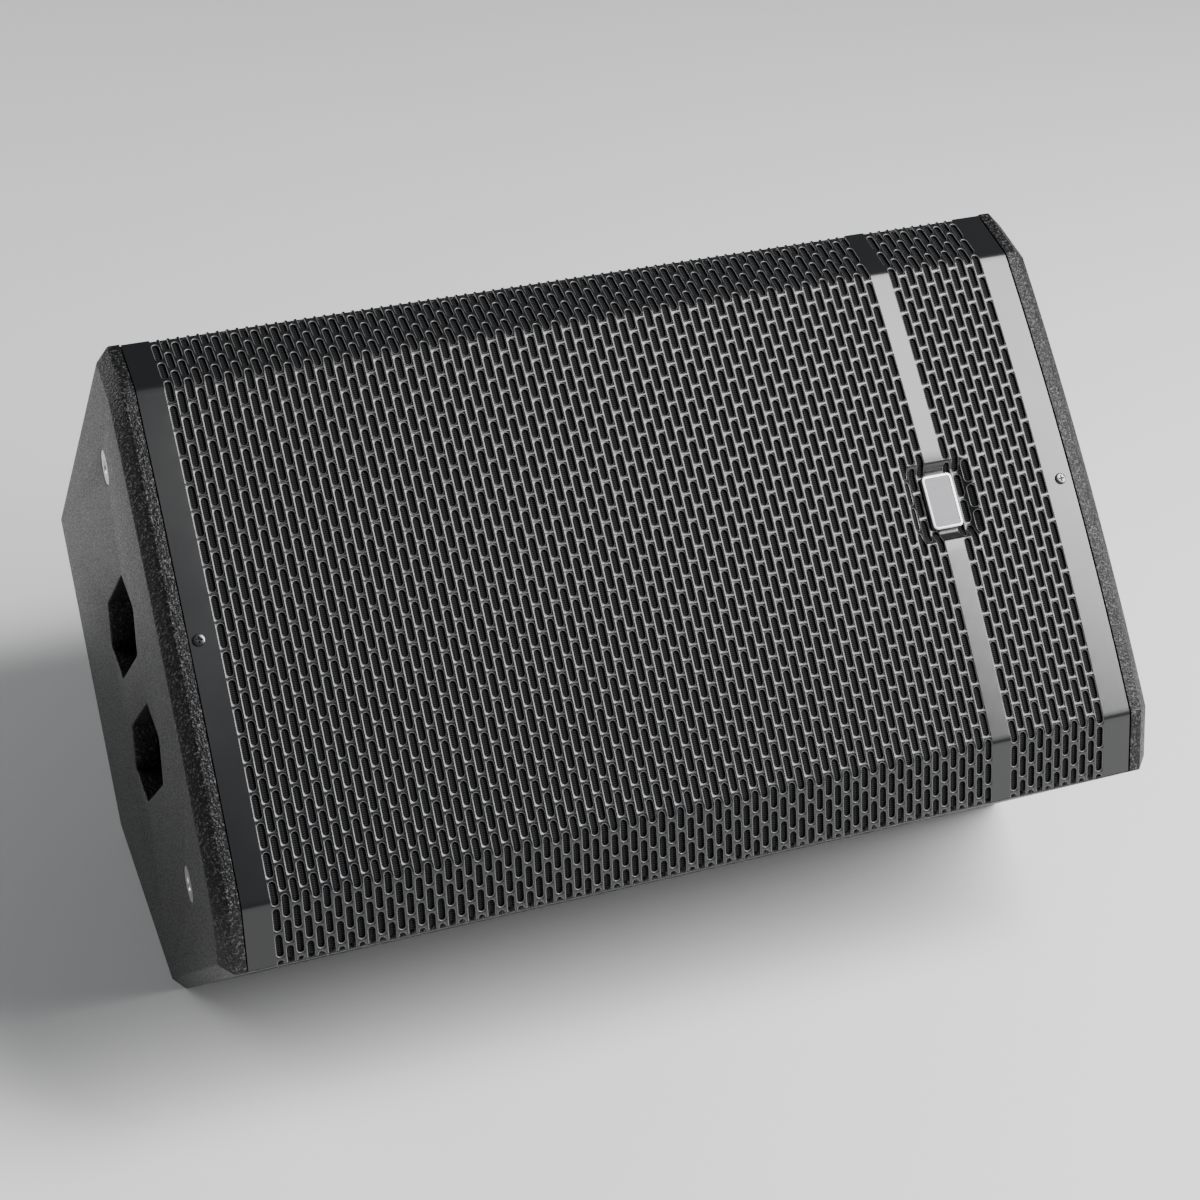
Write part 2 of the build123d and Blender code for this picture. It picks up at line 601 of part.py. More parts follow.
def handle_cup():
    """The closed tray behind the pockets, in five walls so that its inside stays open."""
    x_mouth = -LENGTH / 2 + PLY
    x_floor = x_mouth + CUP_DEPTH
    half_y = POCKET_Y + POCKET_WIDTH / 2 + CUP_MARGIN
    half_z = POCKET_LENGTH / 2 + CUP_MARGIN
    outer_y, outer_z = half_y + CUP_WALL, half_z + CUP_WALL
    floor = Box(CUP_WALL, 2 * outer_y, 2 * outer_z)
    walls = {"handle_cup_floor": Pos(x_floor + CUP_WALL / 2, 0, POCKET_Z) * floor}
    middle_x = (x_mouth + x_floor) / 2
    for name, side in (("upper", 1), ("lower", -1)):
        wall = Box(CUP_DEPTH, CUP_WALL, 2 * outer_z)
        walls[f"handle_cup_{name}"] = Pos(middle_x, side * (half_y + CUP_WALL / 2), POCKET_Z) * wall
    for name, side in (("front", 1), ("rear", -1)):
        wall = Box(CUP_DEPTH, 2 * half_y, CUP_WALL)
        walls[f"handle_cup_{name}"] = Pos(middle_x, 0, POCKET_Z + side * (half_z + CUP_WALL / 2)) * wall
    return walls


def rigging_inserts():
    """Threaded steel inserts for eye bolts."""
    inserts = []
    face = -LENGTH / 2
    for side in (1, -1):
        body = rod_along_x(RIG_HEAD, face + RIG_FLANGE[0], face + RIG_FLANGE[1], side * RIG_Y, RIG_Z)
        body += rod_along_x(RIG_BODY, face + 1, face + RIG_LENGTH, side * RIG_Y, RIG_Z)
        body -= rod_along_x(RIG_BORE, face - 1, face + RIG_LENGTH + 1, side * RIG_Y, RIG_Z)
        inserts.append(body)
    return {"rigging_insert_upper": inserts[0], "rigging_insert_lower": inserts[1]}


def pole_screw_spots():
    """The (y, z) spots of the pole socket's screws."""
    return [(y, POLE_Z + z) for y, z in on_circle(POLE_SCREW_CIRCLE, 4, math.pi / 4)]


def base_fittings():
    """Pole socket with its screws, and four rubber feet with theirs."""
    face = LENGTH / 2
    radius, thick = POLE_FLANGE
    tube = rod_along_x(POLE_BORE + POLE_WALL, face - POLE_DEPTH, face + thick, 0, POLE_Z)
    tube += rod_along_x(radius, face, face + thick, 0, POLE_Z)
    tube -= rod_along_x(POLE_BORE, face - POLE_DEPTH + 3, face + thick + 1, 0, POLE_Z)
    turn = Rot(0, 90, 0)
    socket_screws = []
    for y, z in pole_screw_spots():
        tube -= screw_hole_along_x(POLE_SCREW, face - 1, face + thick + 1, y, z)
        socket_screws.append(Pos(face + thick, y, z) * turn * pan_screw(*POLE_SCREW))
    sink_radius, sink_floor = FOOT_SINK
    foot = turned((0, 0), (FOOT_RADIUS, 0), (FOOT_RADIUS - FOOT_TAPER, FOOT_HEIGHT), (0, FOOT_HEIGHT))
    foot -= rod(sink_radius, sink_floor, FOOT_HEIGHT + 1)
    foot -= screw_hole(FOOT_SCREW, -1, sink_floor + 1)
    feet = [Pos(face, y, z) * turn * foot for y, z in FOOT_SPOTS]
    foot_screws = [Pos(face + sink_floor, y, z) * turn * pan_screw(*FOOT_SCREW) for y, z in FOOT_SPOTS]
    return {
        "pole_socket": tube, "pole_socket_screws": many(socket_screws),
        "base_feet": many(feet), "base_foot_screws": many(foot_screws),
    }


# ---- Electrics -----------------------------------------------------------------------------------
def terminal_screw_spots():
    """The corner screws of the connector plate, from its centre."""
    x = TERMINAL_SIZE[0] / 2 - TERMINAL_SCREW_INSET
    y = TERMINAL_SIZE[1] / 2 - TERMINAL_SCREW_INSET
    return [(sx * x, sy * y) for sx in (1, -1) for sy in (1, -1)]


def connector_plate():
    """The connector plate on the back, with a speaker input and a link output."""
    x, y = TERMINAL_SPOT
    wide, tall, thick = TERMINAL_SIZE
    place = Location((x, y, -BACK_DEPTH), (180, 0, 0))
    plate = extrude(RectangleRounded(wide, tall, TERMINAL_ROUND), thick)
    screws = []
    for dx, dy in terminal_screw_spots():
        plate -= Pos(dx, dy, 0) * screw_hole(TERMINAL_SCREW, -1, thick + 1)
        screws.append(place * Pos(dx, dy, thick) * pan_screw(*TERMINAL_SCREW))
    flange_wide, flange_tall, flange_thick = SOCKET_FLANGE
    flange = extrude(RectangleRounded(flange_wide, flange_tall, SOCKET_ROUND), flange_thick)
    body = Pos(0, 0, thick) * flange + rod(SOCKET_BODY, SOCKET_BACK, thick + 0.5)
    body -= rod(SOCKET_BORE, SOCKET_FLOOR, thick + flange_thick + 1)
    sockets = {}
    for name, side in (("speaker_input", -1), ("speaker_link", 1)):
        spot = Pos(side * SOCKET_SPACING / 2, 0, 0)
        plate -= spot * rod(SOCKET_BODY + FIT_GAP, -1, thick + 1)
        sockets[name] = place * spot * body
    return {"connector_plate": place * plate, "connector_screws": many(screws), **sockets}


def crossover():
    """The passive crossover, on its board inside the back panel."""
    x, y = BOARD_SPOT
    thick = BOARD_SIZE[2]
    base_z = BACK_INNER + BOARD_LIFT
    lift = base_z + thick / 2
    board = Pos(x, y, base_z) * Box(*BOARD_SIZE)
    spacer = rod(SPACER_RADIUS, BACK_INNER, base_z - thick / 2)
    spacers = []
    for sx in (1, -1):
        for sy in (1, -1):
            spacers.append(Pos(x + sx * SPACER_REACH[0], y + sy * SPACER_REACH[1], 0) * spacer)
    coils = []
    for coil_x, coil_y, radius, height in COILS:
        ring = turned((COIL_BORE, 0), (radius, 0), (radius, height), (COIL_BORE, height))
        coils.append(Pos(coil_x, coil_y, lift) * ring)
    can = extrude(Plane.YZ * Circle(CAN_RADIUS), CAN_LENGTH)
    cans = []
    for k in range(3):
        cans.append(Pos(CAN_SPOT[0] - k * CAN_STEP, CAN_SPOT[1], lift + CAN_RADIUS) * can)
    block = Box(*RESISTOR_SIZE)
    middle = lift + RESISTOR_SIZE[2] / 2
    resistors = [Pos(RESISTOR_X, y + k * RESISTOR_STEP, middle) * block for k in (-1, 0, 1)]
    return {
        "crossover_board": board, "crossover_spacers": many(spacers), "crossover_coils": many(coils),
        "crossover_capacitors": many(cans), "crossover_resistors": many(resistors),
    }


def wadding():
    """Soft lining laid against the upper side, clear of everything else."""
    outer = inner_ring(WADDING_GAP)[:2]
    inner = inner_ring(WADDING_GAP + WADDING_THICK)[:2]
    low, high = WADDING_Z
    section = [(along(*outer, high), high), (along(*outer, low), low),
               (along(*inner, low), low), (along(*inner, high), high)]
    half = INNER_LENGTH / 2
    top_end = CUP_DEPTH + CUP_WALL + 5
    return {"wadding_base": prism(section, WADDING_MIDDLE, half - 2),
            "wadding_top": prism(section, -half + top_end, -WADDING_MIDDLE)}


# ---- Assembly ------------------------------------------------------------------------------------
def placed(parts, place):
    """Every shape of a group, moved to its place."""
    return {name: place * shape for name, shape in parts.items()}


def assembly():
    """Every node in the bench frame."""
    nodes = {}
    nodes.update(end_panels())
    nodes.update(carcass())
    nodes["front_baffle"] = baffle()
    nodes.update(bracing())
    nodes.update(front_cover())
    nodes["grille_blocks"] = grille_blocks()
    woofer_place = Pos(WOOFER_X, 0, BAFFLE_FRONT)
    nodes.update(placed(woofer(), woofer_place))
    nodes.update(placed(woofer_suspension(), woofer_place))
    nodes.update(placed(woofer_cone(), woofer_place))
    nodes.update(placed(horn(), Pos(HORN_X, 0, BAFFLE_FRONT)))
    driver_place = Pos(HORN_X, 0, BAFFLE_FRONT - HORN_DEPTH - THROAT_PLATE[1])
    nodes.update(placed(compression_driver(), driver_place))
    nodes.update(ports())
    nodes.update(handle_cup())
    nodes.update(rigging_inserts())
    nodes.update(base_fittings())
    nodes.update(connector_plate())
    nodes.update(crossover())
    nodes.update(wadding())
    return nodes


def lying_down():
    """Leans the bench frame back and puts the middle of the resting facet at the origin."""
    middle_y = (FACET_FRONT[0] + FACET_BACK[0]) / 2
    middle_z = (FACET_FRONT[1] + FACET_BACK[1]) / 2
    return Location((0, 0, 0), (LEAN, 0, 0)) * Pos(0, -middle_y, -middle_z)


os.makedirs("parts", exist_ok=True)
FINAL = lying_down()
for node_name, node_shape in assembly().items():
    export_step(FINAL * node_shape, f"parts/{node_name}.step")
    print(node_name, round(node_shape.volume / 1000, 1), "cm3")
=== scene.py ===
"""Looks of a stage loudspeaker cabinet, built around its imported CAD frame.

All shapes are made in the cabinet's bench frame, in metres: +X runs along the cabinet from its top
end to its base end, +Y up its front, +Z out of its front. laid_down() then lays a finished mesh on
the cabinet's resting facet, which is how the frame holds it.
"""
import logging
import math
from dataclasses import dataclass
from enum import Enum
from typing import Callable, Iterable, Sequence

import bmesh
import bpy
import numpy as np
from mathutils import Matrix, Vector


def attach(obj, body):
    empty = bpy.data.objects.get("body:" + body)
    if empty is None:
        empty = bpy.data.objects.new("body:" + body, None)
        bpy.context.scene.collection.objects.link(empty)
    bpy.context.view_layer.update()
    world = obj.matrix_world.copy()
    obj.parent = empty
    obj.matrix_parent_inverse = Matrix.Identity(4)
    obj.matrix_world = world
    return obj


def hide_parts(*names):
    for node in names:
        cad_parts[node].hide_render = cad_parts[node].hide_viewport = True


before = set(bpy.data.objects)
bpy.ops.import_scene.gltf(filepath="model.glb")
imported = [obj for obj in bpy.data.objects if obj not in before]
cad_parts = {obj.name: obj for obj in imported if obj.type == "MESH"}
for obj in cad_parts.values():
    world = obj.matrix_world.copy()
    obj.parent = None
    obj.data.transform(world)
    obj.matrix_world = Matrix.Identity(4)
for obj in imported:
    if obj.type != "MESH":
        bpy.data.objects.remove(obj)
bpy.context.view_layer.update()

logging.basicConfig(level=logging.INFO, format="%(name)s: %(message)s")
log = logging.getLogger("cabinet")

Socket = bpy.types.NodeSocket
Piece = bpy.types.Object
BMesh = bmesh.types.BMesh
Pair = tuple[float, float]
Triple = tuple[float, float, float]

CABINET = "cabinet"
FINE_WELD = 0.000002   # metres: joins a CAD node's doubled points
WELD = 0.00002         # joins cells or panels that touch
SEAM = 0.00003         # joins the grille's cells to its blank bands
SMOOTH_BELOW = 32.0    # degrees: edges under this are shaded smooth


# ---- The bench frame ------------------------------------------------------------------------------
@dataclass(frozen=True)
class Bench:
    """The frame that the cabinet is drawn in, and its main sizes in metres."""

    lean: float = math.radians(45)
    facet_middle_y: float = -0.123
    facet_middle_z: float = -0.312
    length: float = 0.600
    ply: float = 0.015
    depth: float = 0.371
    face_half: float = 0.153
    face_radius: float = 1.640
    facet_width: float = 0.0345
    facet_drop: float = 0.0227

    def place(self) -> Matrix:
        """Returns the move from the bench frame to the row's frame."""
        shift = Matrix.Translation((0, -self.facet_middle_y, -self.facet_middle_z))
        return Matrix.Rotation(self.lean, 4, "X") @ shift


BENCH = Bench()


class Facing(Enum):
    """The turn about X, Y and Z that points a copy's top out of one side of the cabinet."""

    FRONT = (0.0, 0.0, 0.0)
    BACK = (math.pi, 0.0, 0.0)
    TOP_END = (0.0, -math.pi / 2, 0.0)
    BASE_END = (0.0, math.pi / 2, 0.0)


# ---- Node trees -----------------------------------------------------------------------------------
class Nodes:
    """Short calls for the nodes of one tree."""

    def __init__(self, tree: bpy.types.NodeTree) -> None:
        """Takes the tree to build in."""
        self.nodes = tree.nodes
        self.links = tree.links

    def add(self, kind: str, **settings: object) -> bpy.types.Node:
        """Adds a node and sets its properties."""
        node = self.nodes.new(kind)
        for key, value in settings.items():
            setattr(node, key, value)
        return node

    def feed(self, socket: Socket, value: object) -> None:
        """Links a socket, or sets its value."""
        if isinstance(value, Socket):
            self.links.new(value, socket)
        elif isinstance(value, (tuple, list)) and len(socket.default_value) == 4 and len(value) == 3:
            socket.default_value = (*value, 1.0)
        else:
            socket.default_value = value

    def math(self, operation: str, first: object, second: object = 0.0) -> Socket:
        """Returns one arithmetic step."""
        node = self.add("ShaderNodeMath", operation=operation)
        self.feed(node.inputs[0], first)
        self.feed(node.inputs[1], second)
        return node.outputs[0]

    def weighed(self, first: object, share: float, second: object, other: float) -> Socket:
        """Returns the sum of two values, each times its own share."""
        return self.math("ADD", self.math("MULTIPLY", first, share), self.math("MULTIPLY", second, other))


class Graph(Nodes):
    """A material's node tree, with calls for what these finishes use."""

    def __init__(self, name: str) -> None:
        """Starts a material with a lone Principled shader.

        Args:
            name: The material's name.
        """
        self.material = bpy.data.materials.new(name)
        self.material.use_nodes = True
        super().__init__(self.material.node_tree)
        self.shader = self.nodes["Principled BSDF"]
        self.spot = self.add("ShaderNodeTexCoord").outputs["Object"]

    def set(self, **values: object) -> None:
        """Feeds the shader's own sockets, named with underscores for spaces."""
        for key, value in values.items():
            self.feed(self.shader.inputs[key.replace("_", " ")], value)

    def stretched(self, x: float, y: float, z: float, turn: float = 0.0) -> Socket:
        """Returns object coordinates scaled along each axis, after a turn about X."""
        node = self.add("ShaderNodeMapping")
        self.feed(node.inputs["Vector"], self.spot)
        node.inputs["Scale"].default_value = (x, y, z)
        node.inputs["Rotation"].default_value = (turn, 0, 0)
        return node.outputs["Vector"]

    def bench_axes(self) -> Sequence[Socket]:
        """Returns X, Y and Z along the bench frame's axes."""
        split = self.add("ShaderNodeSeparateXYZ")
        self.feed(split.inputs[0], self.stretched(1, 1, 1, -BENCH.lean))
        return split.outputs

    def noise(self, size: float, detail: float = 2.0, rough: float = 0.5,
              spot: Socket | None = None) -> Socket:
        """Returns a cloud noise whose features are about as large as size, in metres."""
        node = self.add("ShaderNodeTexNoise")
        self.feed(node.inputs["Vector"], spot or self.spot)
        self.feed(node.inputs["Scale"], 1.0 / size)
        self.feed(node.inputs["Detail"], detail)
        self.feed(node.inputs["Roughness"], rough)
        return node.outputs["Fac"]

    def ramp(self, value: Socket, *stops: tuple[float, object]) -> Socket:
        """Returns a colour ramp over value, from (place, grey or colour) stops."""
        node = self.add("ShaderNodeValToRGB")
        self.feed(node.inputs["Fac"], value)
        band = node.color_ramp
        while len(band.elements) < len(stops):
            band.elements.new(0.5)
        for element, (place, tone) in zip(band.elements, stops):
            element.position = place
            element.color = (*tone, 1) if isinstance(tone, tuple) else (tone, tone, tone, 1)
        return node.outputs["Color"]

    def spread(self, value: Socket, low: float, high: float,
               start: float = 0.0, end: float = 1.0) -> Socket:
        """Returns value moved from the range start..end to the range low..high."""
        node = self.add("ShaderNodeMapRange")
        for key, item in (("Value", value), ("From Min", start), ("From Max", end),
                          ("To Min", low), ("To Max", high)):
            self.feed(node.inputs[key], item)
        return node.outputs["Result"]

    def mix(self, share: object, first: object, second: object) -> Socket:
        """Returns a colour between two."""
        node = self.add("ShaderNodeMix", data_type="RGBA", blend_type="MIX")
        for index, value in ((0, share), (6, first), (7, second)):
            self.feed(node.inputs[index], value)
        return node.outputs[2]

    def relief(self, height: Socket, depth: float,
               strength: float = 1.0) -> Socket:
        """Returns a bumped normal.

        Args:
            height: The height pattern, 0 to 1.
            depth: What a height of 1 stands for, in metres.
            strength: The bump's strength.

        Returns:
            The normal.
        """
        node = self.add("ShaderNodeBump")
        for key, value in (("Height", height), ("Distance", depth), ("Strength", strength)):
            self.feed(node.inputs[key], value)
        return node.outputs["Normal"]


def shaded(tone: Sequence[float], share: float, lift: float = 0.0) -> tuple[float, ...]:
    """Returns a colour made darker or paler."""
    return tuple(v * share + lift for v in tone)


# ---- Finishes -------------------------------------------------------------------------------------
@dataclass(frozen=True)
class StructurePaint:
    """Hard black structure paint: a rolled coat of glossy crumbs that glint, their raised tops also painted
    pale as a painted glint.
    """

    name: str = "structure paint"
    crumb: float = 0.0020
    fine: float = 0.0011
    patch: float = 0.045
    dark: float = 0.003
    mid: float = 0.010
    pale: float = 0.085
    depth: float = 0.0011

    def make(self) -> bpy.types.Material:
        """Returns the material."""
        g = Graph(self.name)
        crumbs = g.noise(self.crumb, 2.0, 0.6)
        grit = g.noise(self.fine, 1.0, 0.5)
        both = g.weighed(crumbs, 0.6, grit, 0.4)
        patches = g.noise(self.patch, 2.0)
        shade = g.math("ADD", both, g.spread(patches, -0.015, 0.015))
        # The colour follows the same crumb height as the bump: raised crumbs are painted pale, a painted
        # glint over the black coat, with faint random patches.
        g.set(Base_Color=g.ramp(shade, (0.42, self.dark), (0.54, self.mid), (0.64, self.pale)))
        g.set(Roughness=g.spread(grit, 0.55, 0.36, 0.4, 0.6), Specular_IOR_Level=0.28)
        g.set(Normal=g.relief(both, self.depth, 1.0))
        return g.material


@dataclass(frozen=True)
class SatinCoat:
    """Smooth satin powder coat, with the faintest orange peel."""

    name: str
    tone: Triple = (0.0085, 0.0088, 0.0096)
    roughness: float = 0.28
    peel: float = 0.0022
    depth: float = 0.00002
    haze: float = 0.060

    def make(self) -> bpy.types.Material:
        """Returns the material."""
        g = Graph(self.name)
        haze = g.noise(self.haze, 3.0)
        skin = g.noise(self.peel, 2.0)
        g.set(Base_Color=g.mix(haze, shaded(self.tone, 0.85), shaded(self.tone, 1.2)))
        g.set(Roughness=g.spread(haze, self.roughness - 0.03, self.roughness + 0.04))
        g.set(Normal=g.relief(skin, self.depth, 0.5), Specular_IOR_Level=0.6)
        return g.material


@dataclass(frozen=True)
class RibbedCloth:
    """Black knitted acoustic cloth, whose fine ribs run along the cabinet, their troughs painted darker and
    their crests paler as painted shade.
    """

    name: str = "acoustic cloth"
    rib: float = 0.0013
    stitch: float = 1.3
    fuzz: float = 0.0006
    tone: float = 0.0015
    lift: float = 0.022

    def make(self) -> bpy.types.Material:
        """Returns the material."""
        g = Graph(self.name)
        axes = g.bench_axes()
        across = g.math("SINE", g.math("MULTIPLY", axes[1], 2 * math.pi / self.rib))
        along = g.math("SINE", g.math("MULTIPLY", axes[0], 2 * math.pi / (self.rib * self.stitch)))
        height = g.math("ADD", g.weighed(across, 0.34, along, 0.16), 0.5)
        # The colour follows the rib height: troughs painted dark and crests paler, a painted shade between
        # the ribs, with random fuzz mixed in.
        tone = g.weighed(height, 0.8, g.noise(self.fuzz, 2.0), 0.3)
        g.set(Base_Color=g.ramp(tone, (0.25, self.tone), (0.9, self.lift)), Roughness=0.9)
        g.set(Normal=g.relief(height, 0.0003), Specular_IOR_Level=0.15)
        return g.material


@dataclass(frozen=True)
class Metal:
    """Bare, plated or brushed metal."""

    name: str
    tone: Triple
    roughness: float = 0.3
    grain: float = 0.0006
    metallic: float = 1.0
    wear: float = 0.10
    cloud: float = 0.007

    def make(self) -> bpy.types.Material:
        """Returns the material."""
        g = Graph(self.name)
        fine = g.noise(self.grain, 2.0)
        worn = shaded(self.tone, 1 - self.wear)
        g.set(Base_Color=g.mix(g.noise(self.cloud, 3.0), worn, self.tone), Metallic=self.metallic)
        g.set(Roughness=g.spread(fine, self.roughness - 0.07, self.roughness + 0.09))
        g.set(Normal=g.relief(fine, 0.00001, 0.5))
        return g.material


@dataclass(frozen=True)
class Moulding:
    """Moulded plastic or rubber with a fine spark-eroded grain."""

    name: str
    tone: Triple
    roughness: float = 0.5
    grain: float = 0.0007
    depth: float = 0.00005
    cloud: float = 0.025

    def make(self) -> bpy.types.Material:
        """Returns the material."""
        g = Graph(self.name)
        skin = g.noise(self.grain, 2.0, 0.6)
        g.set(Base_Color=g.mix(g.noise(self.cloud, 2.0), self.tone, shaded(self.tone, 1.25, 0.002)))
        g.set(Roughness=g.spread(skin, self.roughness - 0.08, self.roughness + 0.08))
        g.set(Normal=g.relief(skin, self.depth, 0.6))
        return g.material


@dataclass(frozen=True)
class BarePly:
    """Bare birch plywood, with grain drawn out along the cabinet."""

    name: str = "bare plywood"
    pale: Triple = (0.62, 0.46, 0.29)
    dark: Triple = (0.42, 0.28, 0.15)
    grain: float = 0.004
    rings: float = 0.05

    def make(self) -> bpy.types.Material:
        """Returns the material."""
        g = Graph(self.name)
        grain = g.noise(self.grain, 4.0, 0.6, g.stretched(0.06, 1, 1))
        rings = g.noise(self.rings, 2.0, 0.5, g.stretched(0.15, 1, 1))
        tone = g.weighed(grain, 0.7, rings, 0.3)
        g.set(Base_Color=g.ramp(tone, (0.35, self.dark), (0.62, self.pale)), Roughness=0.62)
        g.set(Normal=g.relief(grain, 0.0002, 0.6))
        return g.material


@dataclass(frozen=True)
class Fibre:
    """Loose or pressed fibres: wadding, paper pulp or doped cloth."""

    name: str
    tone: Triple
    size: float = 0.002
    depth: float = 0.0005
    roughness: float = 0.9

    def make(self) -> bpy.types.Material:
        """Returns the material."""
        g = Graph(self.name)
        tangle = g.noise(self.size, 4.0, 0.7)
        cloud = g.noise(self.size * 12, 2.0)
        share = g.math("MULTIPLY", tangle, g.spread(cloud, 0.8, 1.2))
        g.set(Base_Color=g.mix(share, shaded(self.tone, 0.6), self.tone))
        g.set(Roughness=self.roughness, Normal=g.relief(tangle, self.depth), Specular_IOR_Level=0.25)
        return g.material


@dataclass(frozen=True)
class Wound:
    """Enamelled copper wire wound in even turns."""

    name: str = "enamelled copper"
    wire: float = 0.0012
    tone: Triple = (0.60, 0.24, 0.09)

    def make(self) -> bpy.types.Material:
        """Returns the material."""
        g = Graph(self.name)
        turns = g.math("SINE", g.math("MULTIPLY", g.bench_axes()[2], math.pi / self.wire))
        turns = g.math("ABSOLUTE", turns)
        # The grooves between turns are painted down to 0.4 of the wire's tone: a painted shade between the
        # wires.
        g.set(Base_Color=g.mix(turns, shaded(self.tone, 0.4), self.tone), Metallic=0.8, Roughness=0.32)
        g.set(Normal=g.relief(turns, self.wire / 3))
        return g.material


class Finishes:
    """Every finish of the cabinet, each made once and given by name."""

    def __init__(self) -> None:
        """Lists the finishes."""
        kinds = [
            StructurePaint(),
            SatinCoat("grille coat"),
            # Light grey coat for the slots' rounded rims: a painted highlight round every slot, standing in
            # for the light that the rims catch.
            SatinCoat("painted rim highlight", (0.12, 0.12, 0.124), 0.34),
            SatinCoat("black powder coat", roughness=0.45, depth=0.00006),
            RibbedCloth(),
            Metal("badge silver", (0.50, 0.50, 0.49), 0.38, metallic=0.85),
            Metal("badge grey", (0.10, 0.10, 0.105), 0.45, metallic=0.7),
            Metal("plated steel", (0.58, 0.58, 0.56), 0.30),
            Metal("blackened steel", (0.11, 0.11, 0.115), 0.24, metallic=0.9),
            Metal("ferrite", (0.06, 0.06, 0.065), 0.60, metallic=0.3),
            Metal("formed foil", (0.70, 0.71, 0.72), 0.25),
            Moulding("moulded black", (0.018, 0.018, 0.019)),
            # Near-black painted shade for the insides of recesses: the screws' cross recesses and the
            # inserts' bores.
            Moulding("painted recess shade", (0.006, 0.006, 0.006), 0.6),
            Moulding("soft rubber", (0.012, 0.012, 0.012), 0.72, 0.0011, 0.00012),
            Moulding("board green", (0.02, 0.13, 0.05), 0.35),
            Moulding("ceramic", (0.72, 0.70, 0.64), 0.8, 0.0008),
            Moulding("capacitor sleeve", (0.015, 0.03, 0.12), 0.3),
            BarePly(),
            Fibre("polyester wadding", (0.70, 0.70, 0.68), 0.004, 0.002),
            Fibre("paper pulp", (0.035, 0.033, 0.032), 0.0016, 0.0003),
            Fibre("doped cloth", (0.05, 0.045, 0.04), 0.0012, 0.0002, 0.55),
            Wound(),
        ]
        self.made = {kind.name: kind.make() for kind in kinds}

    def __getitem__(self, name: str) -> bpy.types.Material:
        """Returns a finish by its name."""
        return self.made[name]


FINISH = Finishes()


# ---- Mesh helpers ---------------------------------------------------------------------------------
def object_of(name: str, mesh: bpy.types.Mesh) -> Piece:
    """Returns a new object in the scene that shows the mesh."""
    piece = bpy.data.objects.new(name, mesh)
    bpy.context.scene.collection.objects.link(piece)
    return piece


def mesh_of(name: str, points: Iterable[Sequence[float]], faces: Iterable[Sequence[int]]) -> bpy.types.Mesh:
    """Returns a new mesh from points and faces."""
    mesh = bpy.data.meshes.new(name)
    mesh.from_pydata([tuple(p) for p in points], [], [tuple(f) for f in faces])
    mesh.validate()
    return mesh


def mesh_from(made: BMesh, name: str) -> bpy.types.Mesh:
    """Returns what was made as a new mesh, and frees the rest."""
    mesh = bpy.data.meshes.new(name)
    made.to_mesh(mesh)
    made.free()
    return mesh


def baked(piece: Piece) -> Piece:
    """Turns a piece's modifiers into plain mesh.

    Args:
        piece: The object with modifiers.

    Returns:
        The same object, with none.
    """
    graph = bpy.context.evaluated_depsgraph_get()
    mesh = bpy.data.meshes.new_from_object(piece.evaluated_get(graph), depsgraph=graph)
    piece.modifiers.clear()
    old = piece.data
    piece.data = mesh
    if old.users == 0:
        bpy.data.meshes.remove(old)
    return piece


def smoothed(piece: Piece, angle: float) -> Piece:
    """Shades a piece smooth, but for edges sharper than angle in degrees."""
    for face in piece.data.polygons:
        face.use_smooth = True
    piece.data.set_sharp_from_angle(angle=math.radians(angle))
    return piece


def coated(piece: Piece, *names: str) -> Piece:
    """Gives a piece its finishes, one for each material slot."""
    if piece.data.materials:
        piece.data.materials.clear()
    for name in names:
        piece.data.materials.append(FINISH[name])
    return piece


def mounted(piece: Piece, slot: str, *nodes: str, angle: float = SMOOTH_BELOW) -> Piece:
    """Hands a finished piece, which rides on the cabinet, to the frame.

    Args:
        piece: The piece, in the row's frame.
        slot: The record's material slot; not used.
        nodes: The CAD nodes that it stands for.
        angle: Edges sharper than this, in degrees, stay sharp.

    Returns:
        The piece.
    """
    smoothed(piece, angle)
    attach(piece, CABINET)
    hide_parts(*nodes)
    faces = sum(len(face.vertices) - 2 for face in piece.data.polygons)
    log.info("%s: %d triangles", piece.name, faces)
    return piece


def laid_down(piece: Piece) -> Piece:
    """Moves a mesh made in the bench frame to the row's frame."""
    piece.data.transform(BENCH.place())
    return piece


def turned(name: str, profile: Sequence[Pair], steps: int = 48,
           closed: bool = True) -> bpy.types.Mesh:
    """Turns a profile of (radius, height) points about Z.

    Args:
        name: The mesh's name.
        profile: The points, from the outside of the start round to its end.
        steps: How many steps make a full turn.
        closed: Whether the profile's end joins its start.

    Returns:
        The mesh, its ends on the axis closed.
    """
    made = bmesh.new()
    rings = []
    for radius, height in profile:
        if radius < 1e-7:
            rings.append([made.verts.new((0, 0, height))])
            continue
        ring = []
        for k in range(steps):
            angle = 2 * math.pi * k / steps
            ring.append(made.verts.new((radius * math.cos(angle), radius * math.sin(angle), height)))
        rings.append(ring)
    pairs = list(zip(rings, rings[1:]))
    if closed:
        pairs.append((rings[-1], rings[0]))
    for lower, upper in pairs:
        for k in range(steps):
            corners = [lower[k % len(lower)], lower[(k + 1) % len(lower)],
                       upper[(k + 1) % len(upper)], upper[k % len(upper)]]
            corners = list(dict.fromkeys(corners))
            if len(corners) > 2:
                made.faces.new(corners)
    bmesh.ops.recalc_face_normals(made, faces=made.faces)
    return mesh_from(made, name)


